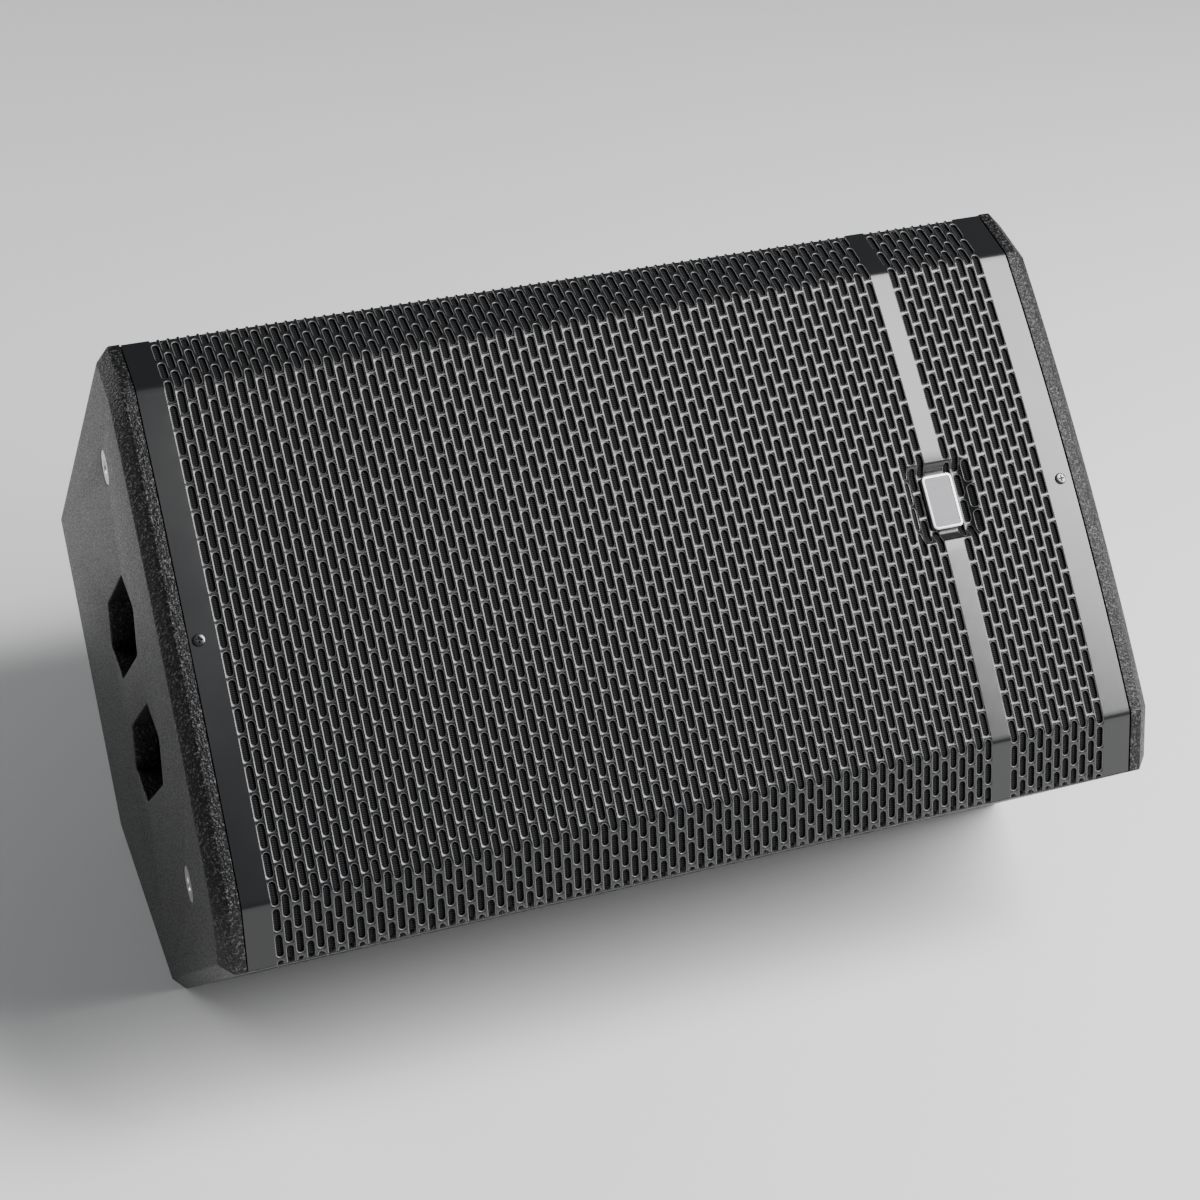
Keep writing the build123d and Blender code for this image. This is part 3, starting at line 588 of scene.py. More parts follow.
# ---- Geometry node trees --------------------------------------------------------------------------
class Tree(Nodes):
    """A geometry node tree with named inputs."""

    def __init__(self, name: str) -> None:
        """Starts a tree with a geometry input and output."""
        self.tree = bpy.data.node_groups.new(name, "GeometryNodeTree")
        super().__init__(self.tree)
        self.face = self.tree.interface
        self.face.new_socket("Geometry", in_out="INPUT", socket_type="NodeSocketGeometry")
        self.face.new_socket("Geometry", in_out="OUTPUT", socket_type="NodeSocketGeometry")
        self.sockets: dict[str, str] = {}
        self.entry: bpy.types.Node | None = None
        self.exit = self.add("NodeGroupOutput")

    def ask(self, name: str, kind: str) -> None:
        """Declares a named input, before the entry node is used."""
        made = self.face.new_socket(name, in_out="INPUT", socket_type=f"NodeSocket{kind}")
        self.sockets[name] = made.identifier

    def given(self, name: str) -> Socket:
        """Returns a named input inside the tree."""
        if self.entry is None:
            self.entry = self.add("NodeGroupInput")
        return self.entry.outputs[name]

    def finish(self, geometry: Socket, weld: bool, marked: str = "") -> None:
        """Realizes the instances, welds them if asked, and gives them the Finish input.

        Args:
            geometry: The instances.
            weld: Whether touching copies are joined.
            marked: A face attribute; where it is set, the faces take the Edge finish input instead.
        """
        real = self.add("GeometryNodeRealizeInstances")
        self.feed(real.inputs[0], geometry)
        last = real.outputs[0]
        if weld:
            join = self.add("GeometryNodeMergeByDistance")
            self.feed(join.inputs["Geometry"], last)
            self.feed(join.inputs["Distance"], WELD)
            last = join.outputs[0]
        coat = self.add("GeometryNodeSetMaterial")
        self.feed(coat.inputs["Geometry"], last)
        self.feed(coat.inputs["Material"], self.given("Finish"))
        if marked:
            mark = self.add("GeometryNodeInputNamedAttribute", data_type="BOOLEAN")
            self.feed(mark.inputs["Name"], marked)
            edge = self.add("GeometryNodeSetMaterial")
            self.feed(edge.inputs["Geometry"], coat.outputs[0])
            self.feed(edge.inputs["Selection"], mark.outputs["Attribute"])
            self.feed(edge.inputs["Material"], self.given("Edge finish"))
            coat = edge
        self.feed(self.exit.inputs[0], coat.outputs[0])

    def run(self, piece: Piece, **values: object) -> Piece:
        """Runs the tree on a piece and keeps the plain mesh.

        Args:
            piece: The object whose mesh goes in.
            values: The named inputs, with underscores for spaces.

        Returns:
            The piece, with no modifier.
        """
        step = piece.modifiers.new("make", "NODES")
        step.node_group = self.tree
        for key, value in values.items():
            step[self.sockets[key.replace("_", " ")]] = value
        return baked(piece)


def lattice_tree() -> Tree:
    """Returns a tree that repeats a cell over a staggered lattice, with a gap of missing columns."""
    tree = Tree("staggered lattice")
    for name, kind in (("Cell", "Object"), ("Columns", "Int"), ("Rows", "Int"), ("Column pitch", "Float"),
                       ("Row pitch", "Float"), ("First column", "Float"), ("Gap start", "Float"),
                       ("Gap end", "Float"), ("Stagger", "Float"), ("Finish", "Material"),
                       ("Edge finish", "Material")):
        tree.ask(name, kind)
    columns, rows = tree.given("Columns"), tree.given("Rows")
    grid = tree.add("GeometryNodeMeshLine", mode="OFFSET")
    tree.feed(grid.inputs["Count"], tree.math("MULTIPLY", columns, rows))
    index = tree.add("GeometryNodeInputIndex").outputs[0]
    column = tree.math("FLOOR", tree.math("DIVIDE", tree.math("ADD", index, 0.5), rows))
    row = tree.math("SUBTRACT", index, tree.math("MULTIPLY", column, rows))
    middle = tree.math("DIVIDE", tree.math("SUBTRACT", rows, 1.0), 2.0)
    odd = tree.math("MODULO", column, 2.0)
    shift = tree.math("MULTIPLY", odd, tree.given("Stagger"))
    place = tree.add("ShaderNodeCombineXYZ")
    across = tree.math("ADD", tree.given("First column"),
                       tree.math("MULTIPLY", column, tree.given("Column pitch")))
    up = tree.math("MULTIPLY", tree.math("ADD", tree.math("SUBTRACT", row, middle), shift),
                   tree.given("Row pitch"))
    tree.feed(place.inputs[0], across)
    tree.feed(place.inputs[1], up)
    put = tree.add("GeometryNodeSetPosition")
    tree.feed(put.inputs["Geometry"], grid.outputs[0])
    tree.feed(put.inputs["Position"], place.outputs[0])
    drop = tree.add("GeometryNodeDeleteGeometry", domain="POINT")
    inside = tree.math("MULTIPLY", tree.math("GREATER_THAN", across, tree.given("Gap start")),
                       tree.math("LESS_THAN", across, tree.given("Gap end")))
    tree.feed(drop.inputs["Geometry"], put.outputs[0])
    tree.feed(drop.inputs["Selection"], inside)
    cell = tree.add("GeometryNodeObjectInfo")
    tree.feed(cell.inputs["Object"], tree.given("Cell"))
    copies = tree.add("GeometryNodeInstanceOnPoints")
    tree.feed(copies.inputs["Points"], drop.outputs[0])
    tree.feed(copies.inputs["Instance"], cell.outputs["Geometry"])
    tree.finish(copies.outputs[0], weld=True, marked="rim")
    return tree


def copies_tree() -> Tree:
    """Returns a tree that puts one turned copy of a template on every point."""
    tree = Tree("copies on points")
    for name, kind in (("Template", "Object"), ("Turn", "Vector"), ("Finish", "Material"),
                       ("Edge finish", "Material")):
        tree.ask(name, kind)
    template = tree.add("GeometryNodeObjectInfo")
    tree.feed(template.inputs["Object"], tree.given("Template"))
    copies = tree.add("GeometryNodeInstanceOnPoints")
    tree.feed(copies.inputs["Points"], tree.given("Geometry"))
    tree.feed(copies.inputs["Instance"], template.outputs["Geometry"])
    tree.feed(copies.inputs["Rotation"], tree.given("Turn"))
    tree.finish(copies.outputs[0], weld=False, marked="recess")
    return tree


LATTICE = lattice_tree()
COPIES = copies_tree()


def repeated(name: str, template: bpy.types.Mesh, spots: Iterable[Sequence[float]],
             turn: Facing, finish: str, recess: str = "") -> Piece:
    """Returns copies of a template at bench points, as one mesh in the bench frame.

    Args:
        name: The piece's name.
        template: The mesh to repeat.
        spots: Bench points.
        turn: Which side of the cabinet the copies look out of.
        finish: The finish's name.
        recess: The finish of the faces marked as a recess, if it differs: a near-black painted shade.

    Returns:
        The piece.
    """
    source = object_of(f"{name}_template", template)
    piece = object_of(name, mesh_of(name, spots, []))
    COPIES.run(piece, Template=source, Turn=turn.value, Finish=FINISH[finish],
               Edge_finish=FINISH[recess or finish])
    bpy.data.objects.remove(source)
    return piece


# ---- The grille -----------------------------------------------------------------------------------
@dataclass
class Grille:
    """The bent sheet with its staggered slots, its blank bar and its pressed badge recess."""

    pitch_x: float = 0.0060
    pitch_v: float = 0.01657
    slot_width: float = 0.0042
    slot_length: float = 0.0145
    sheet: float = 0.0015
    side_gap: float = 0.0006
    edge_round: float = 0.0004
    first_column: float = -0.2650
    columns: int = 89
    rows: int = 25
    gap_first: int = 76
    gap_columns: int = 2
    end_x: float = 0.2841
    inset: float = 0.0005
    bend_half: float = 0.0016
    arc_steps: int = 5
    recess_x: float = 0.1935
    recess_depth: float = 0.0045
    recess_flat: Pair = (0.0165, 0.0195)
    recess_wall: float = 0.0062
    recess_margin: float = 0.012

    @property
    def arc_half(self) -> float:
        """Half the length of the bulged middle, along the sheet."""
        return BENCH.face_radius * math.asin(BENCH.face_half / BENCH.face_radius)

    @property
    def half_length(self) -> float:
        """Half the sheet's developed length."""
        return self.arc_half + math.hypot(BENCH.facet_width, BENCH.facet_drop) - self.side_gap

    def slot_outline(self, grow: float) -> list[Pair]:
        """Returns a slot's outline, anticlockwise from its right side, grown outwards."""
        radius = self.slot_width / 2 + grow
        straight = (self.slot_length - self.slot_width) / 2
        points = []
        for middle, start in ((straight, 0.0), (-straight, math.pi)):
            for k in range(self.arc_steps + 1):
                angle = start + math.pi * k / self.arc_steps
                points.append((radius * math.cos(angle), middle + radius * math.sin(angle)))
        return points

    def cell(self) -> bpy.types.Mesh:
        """Returns one pitch of sheet round one slot, closed all round the slot."""
        half_x, half_v = self.pitch_x / 2, self.pitch_v / 2
        frame_ring = [(half_x, 0), (half_x, half_v), (-half_x, half_v), (-half_x, 0), (-half_x, -half_v),
                      (half_x, -half_v)]
        rims = [(self.edge_round, 0.0), (0.0, -self.edge_round), (0.0, -self.sheet)]
        made = bmesh.new()
        rim = made.faces.layers.bool.new("rim")
        rings = []
        for grow, z in rims:
            rings.append([made.verts.new((x, y, z)) for x, y in self.slot_outline(grow)])
        count = len(rings[0])
        # The top ring's faces are marked rim; they take the lighter rim coat, a painted highlight.
        for upper, lower in zip(rings, rings[1:]):
            for k in range(count):
                face = made.faces.new((upper[k], lower[k], lower[(k + 1) % count], upper[(k + 1) % count]))
                face[rim] = upper is rings[0]
        for ring, z, flip in ((rings[0], 0.0, False), (rings[2], -self.sheet, True)):
            outer = [made.verts.new((x, y, z)) for x, y in frame_ring]
            self._skirt(made, ring, outer, flip)
        return mesh_from(made, "slot cell")

    def _skirt(self, made: BMesh, ring: list[bmesh.types.BMVert],
               outer: list[bmesh.types.BMVert], flip: bool) -> None:
        """Fills the sheet between a slot and its cell's border.

        Args:
            made: The mesh being made.
            ring: The slot's rim.
            outer: The border, from the middle of its right side.
            flip: Whether the faces look back.
        """
        top = self.arc_steps // 2
        last = self.arc_steps
        far = last + 1 + top
        fans = [
            (ring[0:top + 1], [outer[0], outer[1]]),
            (ring[top:top + 2], [outer[1], outer[2]]),
            (ring[top + 1:last + 1], [outer[2], outer[3]]),
            (ring[last:last + 2], [outer[3]]),
            (ring[last + 1:far + 1], [outer[3], outer[4]]),
            (ring[far:far + 2], [outer[4], outer[5]]),
            (ring[far + 1:], [outer[5], outer[0]]),
            ([ring[-1], ring[0]], [outer[0]]),
        ]
        for inner, border in fans:
            corners = list(inner) + list(reversed(border))
            made.faces.new(corners if flip else list(reversed(corners)))

    def band(self, name: str, x_low: float, x_high: float, steps: int) -> bpy.types.Mesh:
        """Returns a blank strip of sheet, with border points where the cells have theirs."""
        made = bmesh.new()
        columns = [x_low + (x_high - x_low) * k / steps for k in range(steps + 1)]
        for z, flip in ((0.0, False), (-self.sheet, True)):
            lines = []
            for k in range(-self.rows, self.rows + 1):
                lines.append([made.verts.new((x, k * self.pitch_v / 2, z)) for x in columns])
            for lower, upper in zip(lines, lines[1:]):
                for k in range(steps):
                    corners = [lower[k], lower[k + 1], upper[k + 1], upper[k]]
                    made.faces.new(list(reversed(corners)) if flip else corners)
        return mesh_from(made, name)

    def _edge(self, column: int) -> float:
        """Returns where a column of cells starts."""
        return self.first_column + (column - 0.5) * self.pitch_x

    def flat_sheet(self) -> BMesh:
        """Returns the whole sheet before bending: x along the cabinet, y along the sheet."""
        cell = object_of("slot_cell", self.cell())
        field = object_of("slot_field", mesh_of("slot field", [(0, 0, 0)], []))
        left, right = self._edge(0), self._edge(self.columns)
        gap = self._edge(self.gap_first), self._edge(self.gap_first + self.gap_columns)
        finishes = [FINISH["grille coat"], FINISH["painted rim highlight"]]
        LATTICE.run(field, Cell=cell, Columns=self.columns, Rows=self.rows, Column_pitch=self.pitch_x,
                    Row_pitch=self.pitch_v, First_column=self.first_column, Stagger=0.5,
                    Gap_start=gap[0], Gap_end=gap[1], Finish=finishes[0], Edge_finish=finishes[1])
        order = [finishes.index(m) if m in finishes else 0 for m in field.data.materials]
        for face in field.data.polygons:
            face.material_index = order[face.material_index]
        made = bmesh.new()
        made.from_mesh(field.data)
        bands = [
            self.band("left band", -self.end_x, left, 3),
            self.band("bar", *gap, 2),
            self.band("right band", right, self.end_x, 3),
        ]
        for mesh in bands:
            made.from_mesh(mesh)
            bpy.data.meshes.remove(mesh)
        for piece in (cell, field):
            bpy.data.objects.remove(piece)
        bmesh.ops.remove_doubles(made, verts=made.verts, dist=SEAM)
        return made

    def cut(self, made: BMesh, spot: Sequence[float], normal: Sequence[float],
            near: Callable[[bmesh.types.BMFace], bool] | None = None, clear: bool = False) -> None:
        """Splits the sheet along a plane.

        Args:
            made: The sheet.
            spot: A point on the plane.
            normal: The plane's normal.
            near: Picks the faces to split, or all.
            clear: Whether the side that the normal points to is removed.
        """
        faces = [f for f in made.faces if near is None or near(f)]
        edges = dict.fromkeys(e for f in faces for e in f.edges)
        points = dict.fromkeys(v for f in faces for v in f.verts)
        bmesh.ops.bisect_plane(made, geom=[*faces, *edges, *points], dist=0.00001, plane_co=spot,
                               plane_no=normal, clear_outer=clear)

    def trimmed(self, made: BMesh) -> None:
        """Cuts the sheet to length and width, adds the bends' edges and the recess's edges."""
        for side in (1, -1):
            self.cut(made, (0, side * self.half_length, 0), (0, side, 0), clear=True)
            for step in (-1, 0, 1):
                self.cut(made, (0, side * (self.arc_half + step * self.bend_half), 0), (0, 1, 0))
        reach_x = self.recess_flat[0] + self.recess_wall
        reach_y = self.recess_flat[1] + self.recess_wall

        def near(face: bmesh.types.BMFace) -> bool:
            """Tells whether a face is at the recess."""
            middle = face.calc_center_median()
            beside = abs(middle.x - self.recess_x) < reach_x + self.recess_margin
            return beside and abs(middle.y) < reach_y + self.recess_margin

        for side in (1, -1):
            for share in (0.0, 0.25, 0.5, 0.75, 1.0):
                x = self.recess_flat[0] + share * self.recess_wall
                y = self.recess_flat[1] + share * self.recess_wall
                self.cut(made, (self.recess_x + side * x, 0, 0), (1, 0, 0), near)
                self.cut(made, (0, side * y, 0), (0, 1, 0), near)
        self._close(made)

    def _close(self, made: BMesh) -> None:
        """Closes the sheet's cut edges: quads across both ends, then faces along both sides."""
        for side in (1, -1):
            rim = [v for v in made.verts if abs(v.co.x - side * self.end_x) < WELD]
            front = sorted((v for v in rim if v.co.z > -WELD), key=lambda v: side * v.co.y)
            back = sorted((v for v in rim if v.co.z < WELD - self.sheet), key=lambda v: side * v.co.y)
            for k in range(len(front) - 1):
                made.faces.new((front[k], back[k], back[k + 1], front[k + 1]))
        for side in (1, -1):
            edges = []
            for edge in made.edges:
                if edge.is_boundary and all(abs(v.co.y - side * self.half_length) < WELD for v in edge.verts):
                    edges.append(edge)
            bmesh.ops.edgenet_fill(made, edges=edges)
        bmesh.ops.recalc_face_normals(made, faces=made.faces)

    def recess(self, x: np.ndarray, y: np.ndarray) -> np.ndarray:
        """Returns how deep the sheet is pressed in at flat points."""
        def share(value: np.ndarray, flat: float) -> np.ndarray:
            """Returns 1 on the recess's floor, falling to 0 at the top of its wall."""
            t = np.clip((flat + self.recess_wall - np.abs(value)) / self.recess_wall, 0, 1)
            return t * t * (3 - 2 * t)

        wide, high = self.recess_flat
        return self.recess_depth * share(x - self.recess_x, wide) * share(y, high)

    def bent(self, points: np.ndarray, below: float = 0.0) -> np.ndarray:
        """Bends flat points to the front's shape.

        Args:
            points: Rows of x, y along the sheet, and z out of it.
            below: How much deeper than the grille's face the sheet lies.

        Returns:
            Rows of bench points.
        """
        x, v = points[:, 0], points[:, 1]
        z = points[:, 2] - self.inset - below - self.recess(x, v)
        side, run = np.sign(v), np.abs(v)
        radius = BENCH.face_radius
        fold = math.atan2(BENCH.facet_drop, BENCH.facet_width)
        start = self.arc_half - self.bend_half
        turn = start / radius
        on_arc = np.minimum(run, start)
        angle = on_arc / radius
        bend = np.clip(run - start, 0, 2 * self.bend_half)
        share = bend / (2 * self.bend_half)
        mean = turn + (fold - turn) * share / 2
        flat = np.maximum(run - start - 2 * self.bend_half, 0)
        up = radius * np.sin(angle) + bend * np.cos(mean) + flat * math.cos(fold)
        out = radius * np.cos(angle) - radius - bend * np.sin(mean) - flat * math.sin(fold)
        lean = np.where(run <= start, angle, turn + (fold - turn) * share)
        return np.stack([x, side * (up + z * np.sin(lean)), out + z * np.cos(lean)], 1)

    def build(self) -> Piece:
        """Returns the finished sheet."""
        made = self.flat_sheet()
        self.trimmed(made)
        mesh = mesh_from(made, "grille sheet")
        flat = np.empty(len(mesh.vertices) * 3)
        mesh.vertices.foreach_get("co", flat)
        mesh.vertices.foreach_set("co", self.bent(flat.reshape(-1, 3)).ravel())
        mesh.update()
        piece = object_of("grille_sheet", mesh)
        # The second finish paints the slot rims lighter, as a painted highlight.
        for name in ("grille coat", "painted rim highlight"):
            mesh.materials.append(FINISH[name])
        laid_down(piece)
        return mounted(piece, "grille_coat", "grille", angle=50)


@dataclass
class Cloth:
    """The acoustic cloth stretched close behind the grille."""

    grille: Grille
    gap: float = 0.0003
    thick: float = 0.0009
    trim_x: float = 0.0016
    trim_v: float = 0.0022
    columns: int = 150
    rows: int = 110

    def build(self) -> Piece:
        """Returns the cloth, a thin closed sheet that follows the grille."""
        half_x = self.grille.end_x - self.trim_x
        half_v = self.grille.half_length - self.trim_v
        xs = np.linspace(-half_x, half_x, self.columns)
        vs = np.linspace(-half_v, half_v, self.rows)
        grid_x, grid_v = np.meshgrid(xs, vs)
        below = self.grille.sheet + self.gap
        layers = []
        for drop in (0.0, self.thick):
            flat = np.stack([grid_x.ravel(), grid_v.ravel(), np.full(grid_x.size, 0.0)], 1)
            layers.append(self.grille.bent(flat, below + drop))
        faces = []
        size = self.columns * self.rows
        for row in range(self.rows - 1):
            for column in range(self.columns - 1):
                a = row * self.columns + column
                b = a + self.columns
                faces.append((a, a + 1, b + 1, b))
                faces.append((a + size, b + size, b + 1 + size, a + 1 + size))
        rim = list(range(self.columns))
        rim += [(k + 1) * self.columns - 1 for k in range(1, self.rows)]
        rim += [size - 1 - k for k in range(1, self.columns)]
        rim += [(self.rows - 1 - k) * self.columns for k in range(1, self.rows - 1)]
        for a, b in zip(rim, rim[1:] + rim[:1]):
            faces.append((a, a + size, b + size, b))
        piece = object_of("acoustic_cloth", mesh_of("acoustic cloth", np.vstack(layers), faces))
        laid_down(coated(piece, "acoustic cloth"))
        mounted(piece, "cloth", "grille_cloth")
        return piece


# ---- Badge and screws -----------------------------------------------------------------------------
@dataclass
class Badge:
    """The blank badge plate in the grille's recess: a raised rim round a grey field."""

    size: Pair = (0.0208, 0.0348)
    corner: float = 0.0032
    top_z: float = -0.0016
    base_z: float = -0.0049
    rim: float = 0.0016
    sunk: float = 0.0004
    soft: float = 0.0005
    under: float = 0.0002
    least_corner: float = 0.0004
    x: float = 0.1937
    steps: int = 8

    def outline(self, inset: float) -> list[Pair]:
        """Returns the plate's rounded outline, moved in."""
        half = (self.size[0] / 2 - inset, self.size[1] / 2 - inset)
        radius = max(self.corner - inset, self.least_corner)
        points = []
        for quarter, (sx, sy) in enumerate(((1, 1), (-1, 1), (-1, -1), (1, -1))):
            for k in range(self.steps + 1):
                angle = math.pi / 2 * (quarter + k / self.steps)
                points.append((sx * (half[0] - radius) + radius * math.cos(angle),
                               sy * (half[1] - radius) + radius * math.sin(angle)))
        return points

    def build(self) -> Piece:
        """Returns the badge."""
        soft, under = self.soft, self.under
        steps = [(under, self.base_z), (0.0, self.base_z + under), (0.0, self.top_z - soft),
                 (soft * 0.3, self.top_z - soft * 0.3), (soft, self.top_z), (self.rim, self.top_z),
                 (self.rim + self.sunk * 0.6, self.top_z - self.sunk)]
        made = bmesh.new()
        rings = []
        for inset, z in steps:
            rings.append([made.verts.new((self.x + x, y, z)) for x, y in self.outline(inset)])
        count = len(rings[0])
        for lower, upper in zip(rings, rings[1:]):
            for k in range(count):
                made.faces.new((lower[k], lower[(k + 1) % count], upper[(k + 1) % count], upper[k]))
        made.faces.new(list(reversed(rings[0])))
        field = made.faces.new(rings[-1])
        field.material_index = 1
        piece = object_of("badge_plate", mesh_from(made, "badge plate"))
        laid_down(coated(piece, "badge silver", "badge grey"))
        return mounted(piece, "badge_metal", "badge")


@dataclass(frozen=True)
class CrossHead:
    """A pan-head screw with a cross recess, its underside at z = 0 and its shank below."""

    head: float
    height: float
    shank: float
    length: float
    steps: int = 32
    dome = ((0.0, 1.0), (0.40, 1.0), (0.74, 0.97), (0.90, 0.80), (0.98, 0.42), (1.0, 0.12), (0.98, 0.0))

    def mesh(self, name: str) -> bpy.types.Mesh:
        """Returns the screw."""
        dome = [(self.head * out, self.height * up) for out, up in self.dome]
        dome += [(self.shank, 0.0), (self.shank, -self.length + self.shank), (0.0, -self.length)]
        screw = object_of(name, turned(name, dome, self.steps, closed=False))
        cutter = object_of(f"{name}_cross", self._cross())
        step = screw.modifiers.new("cross", "BOOLEAN")
        step.operation = "DIFFERENCE"
        step.object = cutter
        step.solver = "EXACT"
        baked(screw)
        mesh = screw.data
        # The cross recess's faces are marked, to be painted near-black as a painted shade.
        recess = mesh.attributes.new("recess", "BOOLEAN", "FACE")
        for face in mesh.polygons:
            inside = face.center.xy.length < self.head * 0.66
            recess.data[face.index].value = inside and 0 < face.center.z < self.height * 0.9
        bpy.data.objects.remove(screw)
        bpy.data.objects.remove(cutter)
        return mesh

    def _cross(self) -> bpy.types.Mesh:
        """Returns the tapered cross that the recess is cut with."""
        arm, half, deep = self.head * 0.64, self.head * 0.16, self.height * 0.8
        top, low = self.height * 1.3, self.height - deep
        plan = [(arm, -half), (arm, half), (half, half), (half, arm), (-half, arm), (-half, half),
                (-arm, half), (-arm, -half), (-half, -half), (-half, -arm), (half, -arm), (half, -half)]
        points = [(x, y, top) for x, y in plan] + [(x * 0.55, y * 0.55, low) for x, y in plan]
        count = len(plan)
        faces = [tuple(range(count)), tuple(reversed(range(count, 2 * count)))]
        for k in range(count):
            n = (k + 1) % count
            faces.append((k, k + count, n + count, n))
        return mesh_of("cross", points, faces)


@dataclass
class Screws:
    """Every group of screws, placed where the frame has them."""

    grille_x: Pair = (-0.2786, 0.2764)
    grille_z: float = -0.0005
    grille_screw: CrossHead = CrossHead(0.0037, 0.0014, 0.0017, 0.012)
    end_seat: float = 0.003
    pole_z: float = -0.175
    pole_circle: float = 0.041
    pole_screw: CrossHead = CrossHead(0.0036, 0.0022, 0.0019, 0.016)
    foot_screw: CrossHead = CrossHead(0.0040, 0.0024, 0.0019, 0.016)
    plate_spot: Pair = (0.060, 0.050)
    plate_reach: Pair = (0.058, 0.039)
    plate_thick: float = 0.002
    plate_screw: CrossHead = CrossHead(0.0035, 0.0020, 0.0018, 0.014)

    def groups(self) -> list[tuple]:
        """Returns each group's name, CAD node, screw, spots, direction and finish."""
        end = BENCH.length / 2 + self.end_seat
        back = -BENCH.depth - self.plate_thick
        ring = []
        for k in range(4):
            angle = math.pi / 4 + k * math.pi / 2
            ring.append((end, self.pole_circle * math.cos(angle),
                         self.pole_z + self.pole_circle * math.sin(angle)))
        corners = []
        for sx in (1, -1):
            for sy in (1, -1):
                corners.append((self.plate_spot[0] + sx * self.plate_reach[0],
                                self.plate_spot[1] + sy * self.plate_reach[1], back))
        cover = [(x, 0.0, self.grille_z) for x in self.grille_x]
        feet = [(end, y, z) for y, z in Feet.spots]
        dark, bright = "blackened steel", "plated steel"
        return [
            ("grille_cover_screws", "grille_screws", self.grille_screw, cover, Facing.FRONT, dark),
            ("pole_cup_screws", "pole_socket_screws", self.pole_screw, ring, Facing.BASE_END, dark),
            ("foot_screws", "base_foot_screws", self.foot_screw, feet, Facing.BASE_END, bright),
            ("plate_screws", "connector_screws", self.plate_screw, corners, Facing.BACK, dark),
        ]

    def build(self) -> list[Piece]:
        """Returns the groups of screws."""
        made = []
        for name, node, screw, spots, turn, finish in self.groups():
            piece = repeated(name, screw.mesh(f"{name} screw"), spots, turn, finish, "painted recess shade")
            made.append(mounted(laid_down(piece), "black_screw", node))
        return made


# ---- Wood -----------------------------------------------------------------------------------------
@dataclass
class Softener:
    """Copies CAD nodes, merges them and rounds their edges."""

    width: float = 0.0011
    segments: int = 2
    sharper_than: float = 25.0
    flatter_than: float = 0.3

    def _merged(self, nodes: Sequence[str]) -> BMesh:
        """Returns the nodes as one closed mesh, with no face left between two of them."""
        made = bmesh.new()
        for node in nodes:
            part = bmesh.new()
            part.from_mesh(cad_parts[node].data)
            bmesh.ops.remove_doubles(part, verts=part.verts, dist=FINE_WELD)
            bmesh.ops.dissolve_limit(part, angle_limit=math.radians(self.flatter_than), verts=part.verts,
                                     edges=part.edges)
            mesh = mesh_from(part, node)
            made.from_mesh(mesh)
            bpy.data.meshes.remove(mesh)
        if len(nodes) > 1:
            bmesh.ops.remove_doubles(made, verts=made.verts, dist=WELD)
            shared = [f for f in made.faces if all(len(e.link_faces) > 2 for e in f.edges)]
            bmesh.ops.delete(made, geom=shared, context="FACES")
            bmesh.ops.recalc_face_normals(made, faces=made.faces)
        return made

    def build(self, nodes: Sequence[str], name: str, finish: str, slot: str,
              rounds: Callable[[bmesh.types.BMEdge, Vector], bool] | None = None,
              extra: bpy.types.Mesh | None = None) -> Piece:
        """Returns the softened piece, which replaces its nodes.

        Args:
            nodes: The CAD nodes.
            name: The new piece's name.
            finish: Its finish.
            slot: Its slot in the record.
            rounds: Picks the edges to round, from each edge and its middle in the bench frame.
            extra: A mesh in the row's frame that joins the piece.

        Returns:
            The piece.
        """
        made = self._merged(nodes)
        weight = made.edges.layers.float.new("bevel_weight_edge")
        back = BENCH.place().inverted()
        limit = math.radians(self.sharper_than)
        for edge in made.edges:
            if len(edge.link_faces) != 2 or edge.calc_face_angle(0.0) < limit:
                continue
            middle = back @ ((edge.verts[0].co + edge.verts[1].co) / 2)
            if rounds is None or rounds(edge, middle):
                edge[weight] = 1.0
        piece = object_of(name, mesh_from(made, name))
        step = piece.modifiers.new("edges", "BEVEL")
        step.limit_method = "WEIGHT"
        step.width = self.width
        step.segments = self.segments
        step.use_clamp_overlap = True
        step.miter_outer = "MITER_SHARP"
        baked(piece)
        if extra is not None:
            joined = bmesh.new()
            joined.from_mesh(piece.data)
            joined.from_mesh(extra)
            joined.to_mesh(piece.data)
            joined.free()
            bpy.data.meshes.remove(extra)
        coated(piece, finish)
        return mounted(piece, slot, *nodes)


@dataclass
class Carcass:
    """The painted plywood box, its corners all rounded alike."""

    edge: Softener
    front: float = -0.0335
    long: float = 0.3
    seam: float = 0.0005

    def build(self) -> None:
        """Makes both end panels and the wrap of four long panels, with no groove between them."""
        for end in ("top", "base"):
            self.edge.build([f"end_panel_{end}"], f"{end}_end", "structure paint", "black_paint",
                            self._off_seam)
        wrap = ("upper_side", "back_panel", "facet_panel", "lower_side")
        self.edge.build(wrap, "cabinet_wrap", "structure paint", "black_paint", self._wrap_edge)

    def _off_seam(self, edge: bmesh.types.BMEdge, middle: Vector) -> bool:
        """Tells whether an edge lies off the joint between an end panel and the wrap."""
        return abs(abs(middle.x) - BENCH.length / 2 + BENCH.ply) > self.seam

    def _wrap_edge(self, edge: bmesh.types.BMEdge, middle: Vector) -> bool:
        """Tells whether an edge is an outer corner of the wrap, or on its front."""
        if not self._off_seam(edge, middle):
            return False
        return edge.is_convex and (middle.z > self.front or edge.calc_length() > self.long)


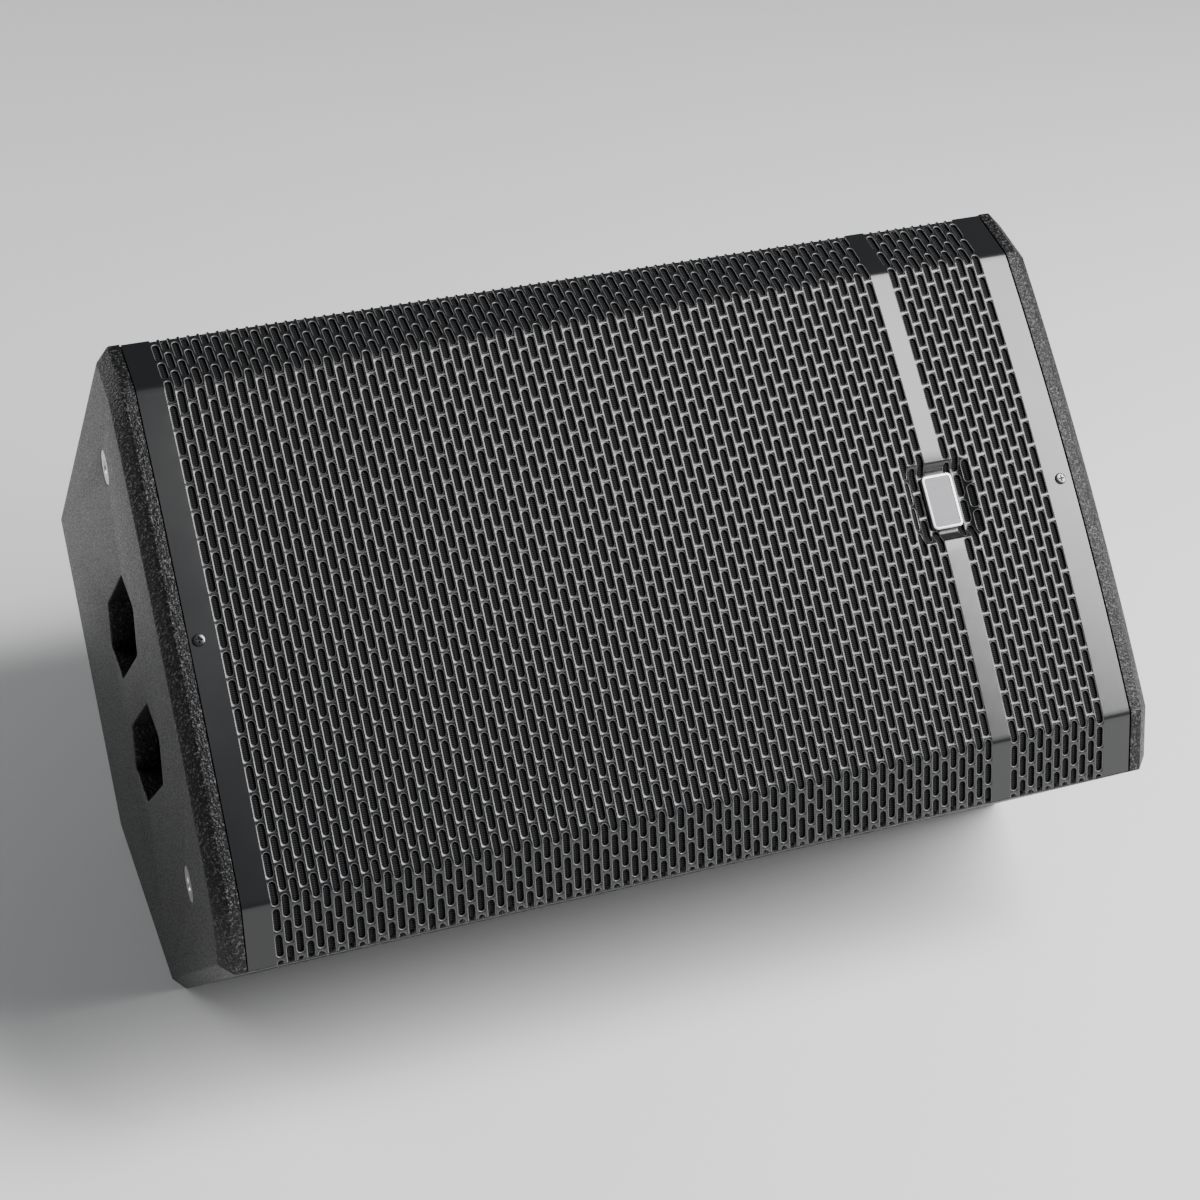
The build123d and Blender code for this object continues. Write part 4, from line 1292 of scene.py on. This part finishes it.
@dataclass
class Sockets:
    """The two speaker sockets, each with the keyed post that its plug turns on."""

    edge: Softener
    spot: Pair = (0.060, 0.050)
    spacing: float = 0.044
    floor: float = 0.018
    post: float = 0.0046
    hollow: float = 0.0028
    key: Pair = (0.0022, 0.0105)
    key_turn: float = 0.6
    sunk: float = 0.0015
    soft: float = 0.0008
    lip: float = 0.0003
    root: float = -0.0005
    hollow_floor: float = 0.003

    def build(self) -> None:
        """Makes both sockets."""
        for side, node in ((-1, "speaker_input"), (1, "speaker_link")):
            self.edge.build([node], f"{node}_socket", "moulded black", "moulded_plastic",
                            extra=self._core(side))

    def _core(self, side: int) -> bpy.types.Mesh:
        """Returns the post and the two keys beside it, in the row's frame.

        Args:
            side: Which socket, -1 or 1.

        Returns:
            The mesh.
        """
        r, h, top = self.post, self.hollow, self.floor - self.sunk
        profile = [(r, self.root), (r, top - self.soft), (r - self.soft, top), (h + self.lip, top),
                   (h, top - self.lip), (h, self.hollow_floor), (0.0, self.hollow_floor), (0.0, self.root)]
        post = turned("socket post", profile, 40, closed=False)
        made = bmesh.new()
        made.from_mesh(post)
        bpy.data.meshes.remove(post)
        wide, far = self.key
        for turn in (self.key_turn, self.key_turn + math.pi):
            block = bmesh.ops.create_cube(made, size=1.0)["verts"]
            place = Matrix.Rotation(turn, 4, "Z") @ Matrix.Translation((far, 0, top * 0.45))
            scale = Matrix.Diagonal((wide, wide * 1.4, top * 0.9, 1))
            bmesh.ops.transform(made, matrix=place @ scale, verts=block)
        bmesh.ops.recalc_face_normals(made, faces=made.faces)
        middle = Vector((self.spot[0] + side * self.spacing / 2, self.spot[1], -BENCH.depth + self.floor))
        flipped = Matrix.Rotation(math.pi, 4, "X")
        place = BENCH.place() @ Matrix.Translation(middle) @ flipped
        bmesh.ops.transform(made, matrix=place, verts=made.verts)
        return mesh_from(made, "socket core")


@dataclass
class Feet:
    """Rubber feet on the base end."""

    spots = ((0.150, -0.062), (-0.150, -0.062), (0.132, -0.338), (-0.048, -0.338))
    radius: float = 0.017
    height: float = 0.008
    hole: float = 0.005
    shank: float = 0.0022
    seat: float = 0.003
    steps: int = 56
    outside = ((0.0015, 0.0012), (0.0019, 0.0004), (0.0027, 0.0))
    inside = ((0.0009, 0.0), (0.0002, 0.0004), (0.0, 0.001))

    def build(self) -> Piece:
        """Returns the four feet, each tapered and rounded at its tread."""
        r, h, hole = self.radius, self.height, self.hole
        profile = [(self.shank, 0.0), (r - 0.0004, 0.0), (r, 0.0006)]
        profile += [(r - inward, h - down) for inward, down in self.outside]
        profile += [(hole + outward, h - down) for outward, down in self.inside]
        profile += [(hole, self.seat), (self.shank, self.seat)]
        mesh = turned("rubber foot", profile, self.steps)
        face = BENCH.length / 2
        piece = repeated("rubber_feet", mesh, [(face, y, z) for y, z in self.spots], Facing.BASE_END,
                         "soft rubber")
        return mounted(laid_down(piece), "soft_rubber", "base_feet")


# ---- Metal fittings -------------------------------------------------------------------------------
@dataclass
class RiggingInserts:
    """Steel inserts in the top end, each with a flange and a bore ringed with grooves for its thread."""

    y: float = 0.128
    z: float = -0.0865
    flange: float = 0.0110
    body: float = 0.0069
    bore: float = 0.0034
    mouth: float = 0.0042
    long: float = 0.025
    pitch: float = 0.00125
    thread: float = 0.0006
    under: float = -0.0017
    soft: float = 0.0003
    fine: float = 0.0002
    start: float = -0.0008
    steps: int = 48

    def profile(self) -> list[Pair]:
        """Returns the insert's outline as (radius, height), its flange's face at height 0."""
        points = [(self.body, -self.long), (self.body, self.under), (self.flange - self.fine, self.under),
                  (self.flange, -0.0014), (self.flange, -self.soft), (self.flange - self.soft, 0.0),
                  (self.mouth + self.fine, 0.0), (self.mouth, -self.soft)]
        height = self.start
        while height > -self.long + self.pitch:
            points.append((self.bore, height))
            points.append((self.bore + self.thread, height - self.pitch / 2))
            height -= self.pitch
        points.append((self.bore, -self.long))
        return points

    def build(self) -> list[Piece]:
        """Returns both inserts."""
        made = []
        for side, name in ((1, "upper"), (-1, "lower")):
            mesh = turned(f"insert {name}", self.profile(), self.steps)
            # The bore's faces are marked, to be painted near-black as a painted shade.
            recess = mesh.attributes.new("recess", "BOOLEAN", "FACE")
            for face in mesh.polygons:
                inner = face.center.xy.length < self.mouth
                recess.data[face.index].value = inner and face.center.z < -2 * self.soft
            spot = (-BENCH.length / 2 + self.soft, side * self.y, self.z)
            piece = repeated(f"insert_{name}", mesh, [spot], Facing.TOP_END, "plated steel", "painted recess shade")
            made.append(mounted(laid_down(piece), "zinc_steel", f"rigging_insert_{name}"))
        return made


# ---- Carried-over nodes ---------------------------------------------------------------------------
def dress_inside() -> None:
    """Gives every CAD node that stays its finish."""
    finishes = {
        "structure paint": ("handle_cup_floor", "handle_cup_upper", "handle_cup_lower", "handle_cup_front",
                            "handle_cup_rear"),
        "bare plywood": ("front_baffle", "baffle_battens", "cross_brace", "grille_blocks"),
        "black powder coat": ("woofer_basket",),
        "plated steel": ("woofer_top_plate", "woofer_back_plate", "hf_front_plate", "hf_back_plate"),
        "ferrite": ("woofer_magnet", "hf_magnet"),
        "blackened steel": ("woofer_screws", "horn_screws"),
        "paper pulp": ("woofer_cone", "woofer_dust_cap"),
        "enamelled copper": ("woofer_voice_coil", "crossover_coils"),
        "doped cloth": ("woofer_surround", "woofer_spider"),
        "soft rubber": ("woofer_gasket",),
        "moulded black": ("horn_flare", "hf_rear_cover", "hf_phase_plug", "port_upper", "port_lower",
                          "crossover_spacers"),
        "formed foil": ("hf_diaphragm",),
        "board green": ("crossover_board",),
        "capacitor sleeve": ("crossover_capacitors",),
        "ceramic": ("crossover_resistors",),
        "polyester wadding": ("wadding_base", "wadding_top"),
    }
    for finish, nodes in finishes.items():
        for node in nodes:
            coated(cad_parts[node], finish)


# ---- Stage ----------------------------------------------------------------------------------------
@dataclass
class Studio:
    """Floor, soft lights and camera."""

    floor_size: float = 14.0
    eye: Triple = (-0.5118, -1.3508, 1.1965)
    azimuth: float = 21.295
    elevation: float = 31.731
    roll: float = 1.766
    lens: float = 79.32
    shift_y: float = -0.125
    aim: Triple = (0.0, 0.0, 0.22)
    away: float = 2.6
    sky: Triple = (0.90, 0.95, 1.0)
    sky_strength: float = 0.10

    def floor(self) -> None:
        """Makes the pale floor."""
        half = self.floor_size / 2
        corners = [(-half, -half, 0), (half, -half, 0), (half, half, 0), (-half, half, 0)]
        piece = object_of("floor", mesh_of("floor", corners, [(0, 1, 2, 3)]))
        g = Graph("pale floor")
        g.set(Base_Color=g.mix(g.noise(0.4, 2.0), (0.88, 0.88, 0.88), (0.92, 0.92, 0.92)), Roughness=0.8)
        piece.data.materials.append(g.material)

    def softbox(self, name: str, direction: Sequence[float], size: Pair,
                power: float) -> None:
        """Makes a rectangular light that looks at the cabinet.

        Args:
            name: The light's name.
            direction: From the cabinet's middle to the light.
            size: Its width and height, in metres.
            power: Its power in watts.
        """
        lamp = bpy.data.lights.new(name, "AREA")
        lamp.shape = "RECTANGLE"
        lamp.size, lamp.size_y = size
        lamp.energy = power
        box = bpy.data.objects.new(name, lamp)
        bpy.context.scene.collection.objects.link(box)
        away = Vector(direction).normalized()
        box.location = Vector(self.aim) + away * self.away
        box.rotation_euler = away.to_track_quat("Z", "Y").to_euler()

    def lights(self) -> None:
        """Makes the lights and the pale surroundings."""
        self.softbox("key", (0.57, -0.45, 0.69), (1.05, 2.2), 170)
        self.softbox("end light", (-0.80, 0.70, 0.28), (1.4, 1.6), 26)
        world = bpy.data.worlds.new("studio")
        world.use_nodes = True
        back = world.node_tree.nodes["Background"]
        back.inputs[0].default_value = (*self.sky, 1)
        back.inputs[1].default_value = self.sky_strength
        bpy.context.scene.world = world

    def camera(self) -> None:
        """Makes the camera."""
        data = bpy.data.cameras.new("camera")
        data.lens = self.lens
        data.sensor_width = 36
        data.shift_y = self.shift_y
        data.clip_end = 60
        eye = bpy.data.objects.new("camera", data)
        bpy.context.scene.collection.objects.link(eye)
        turn = Matrix.Rotation(-math.radians(self.azimuth), 4, "Z")
        tilt = Matrix.Rotation(math.radians(90 - self.elevation), 4, "X")
        roll = Matrix.Rotation(math.radians(self.roll), 4, "Z")
        eye.matrix_world = Matrix.Translation(self.eye) @ turn @ tilt @ roll
        bpy.context.scene.camera = eye

    def build(self) -> None:
        """Makes the whole stage."""
        self.camera()
        self.floor()
        self.lights()


def main() -> None:
    """Builds the cabinet, piece by piece."""
    Studio().build()
    grille = Grille()
    grille.build()
    Cloth(grille).build()
    Badge().build()
    Carcass(Softener(0.0018, 3)).build()
    Feet().build()
    RiggingInserts().build()
    Screws().build()
    soft = Softener(0.0005)
    soft.build(["pole_socket"], "pole_cup", "black powder coat", "black_steel")
    soft.build(["connector_plate"], "connector_panel", "black powder coat", "black_steel")
    Sockets(soft).build()
    dress_inside()


if __name__ == "__main__":
    main()
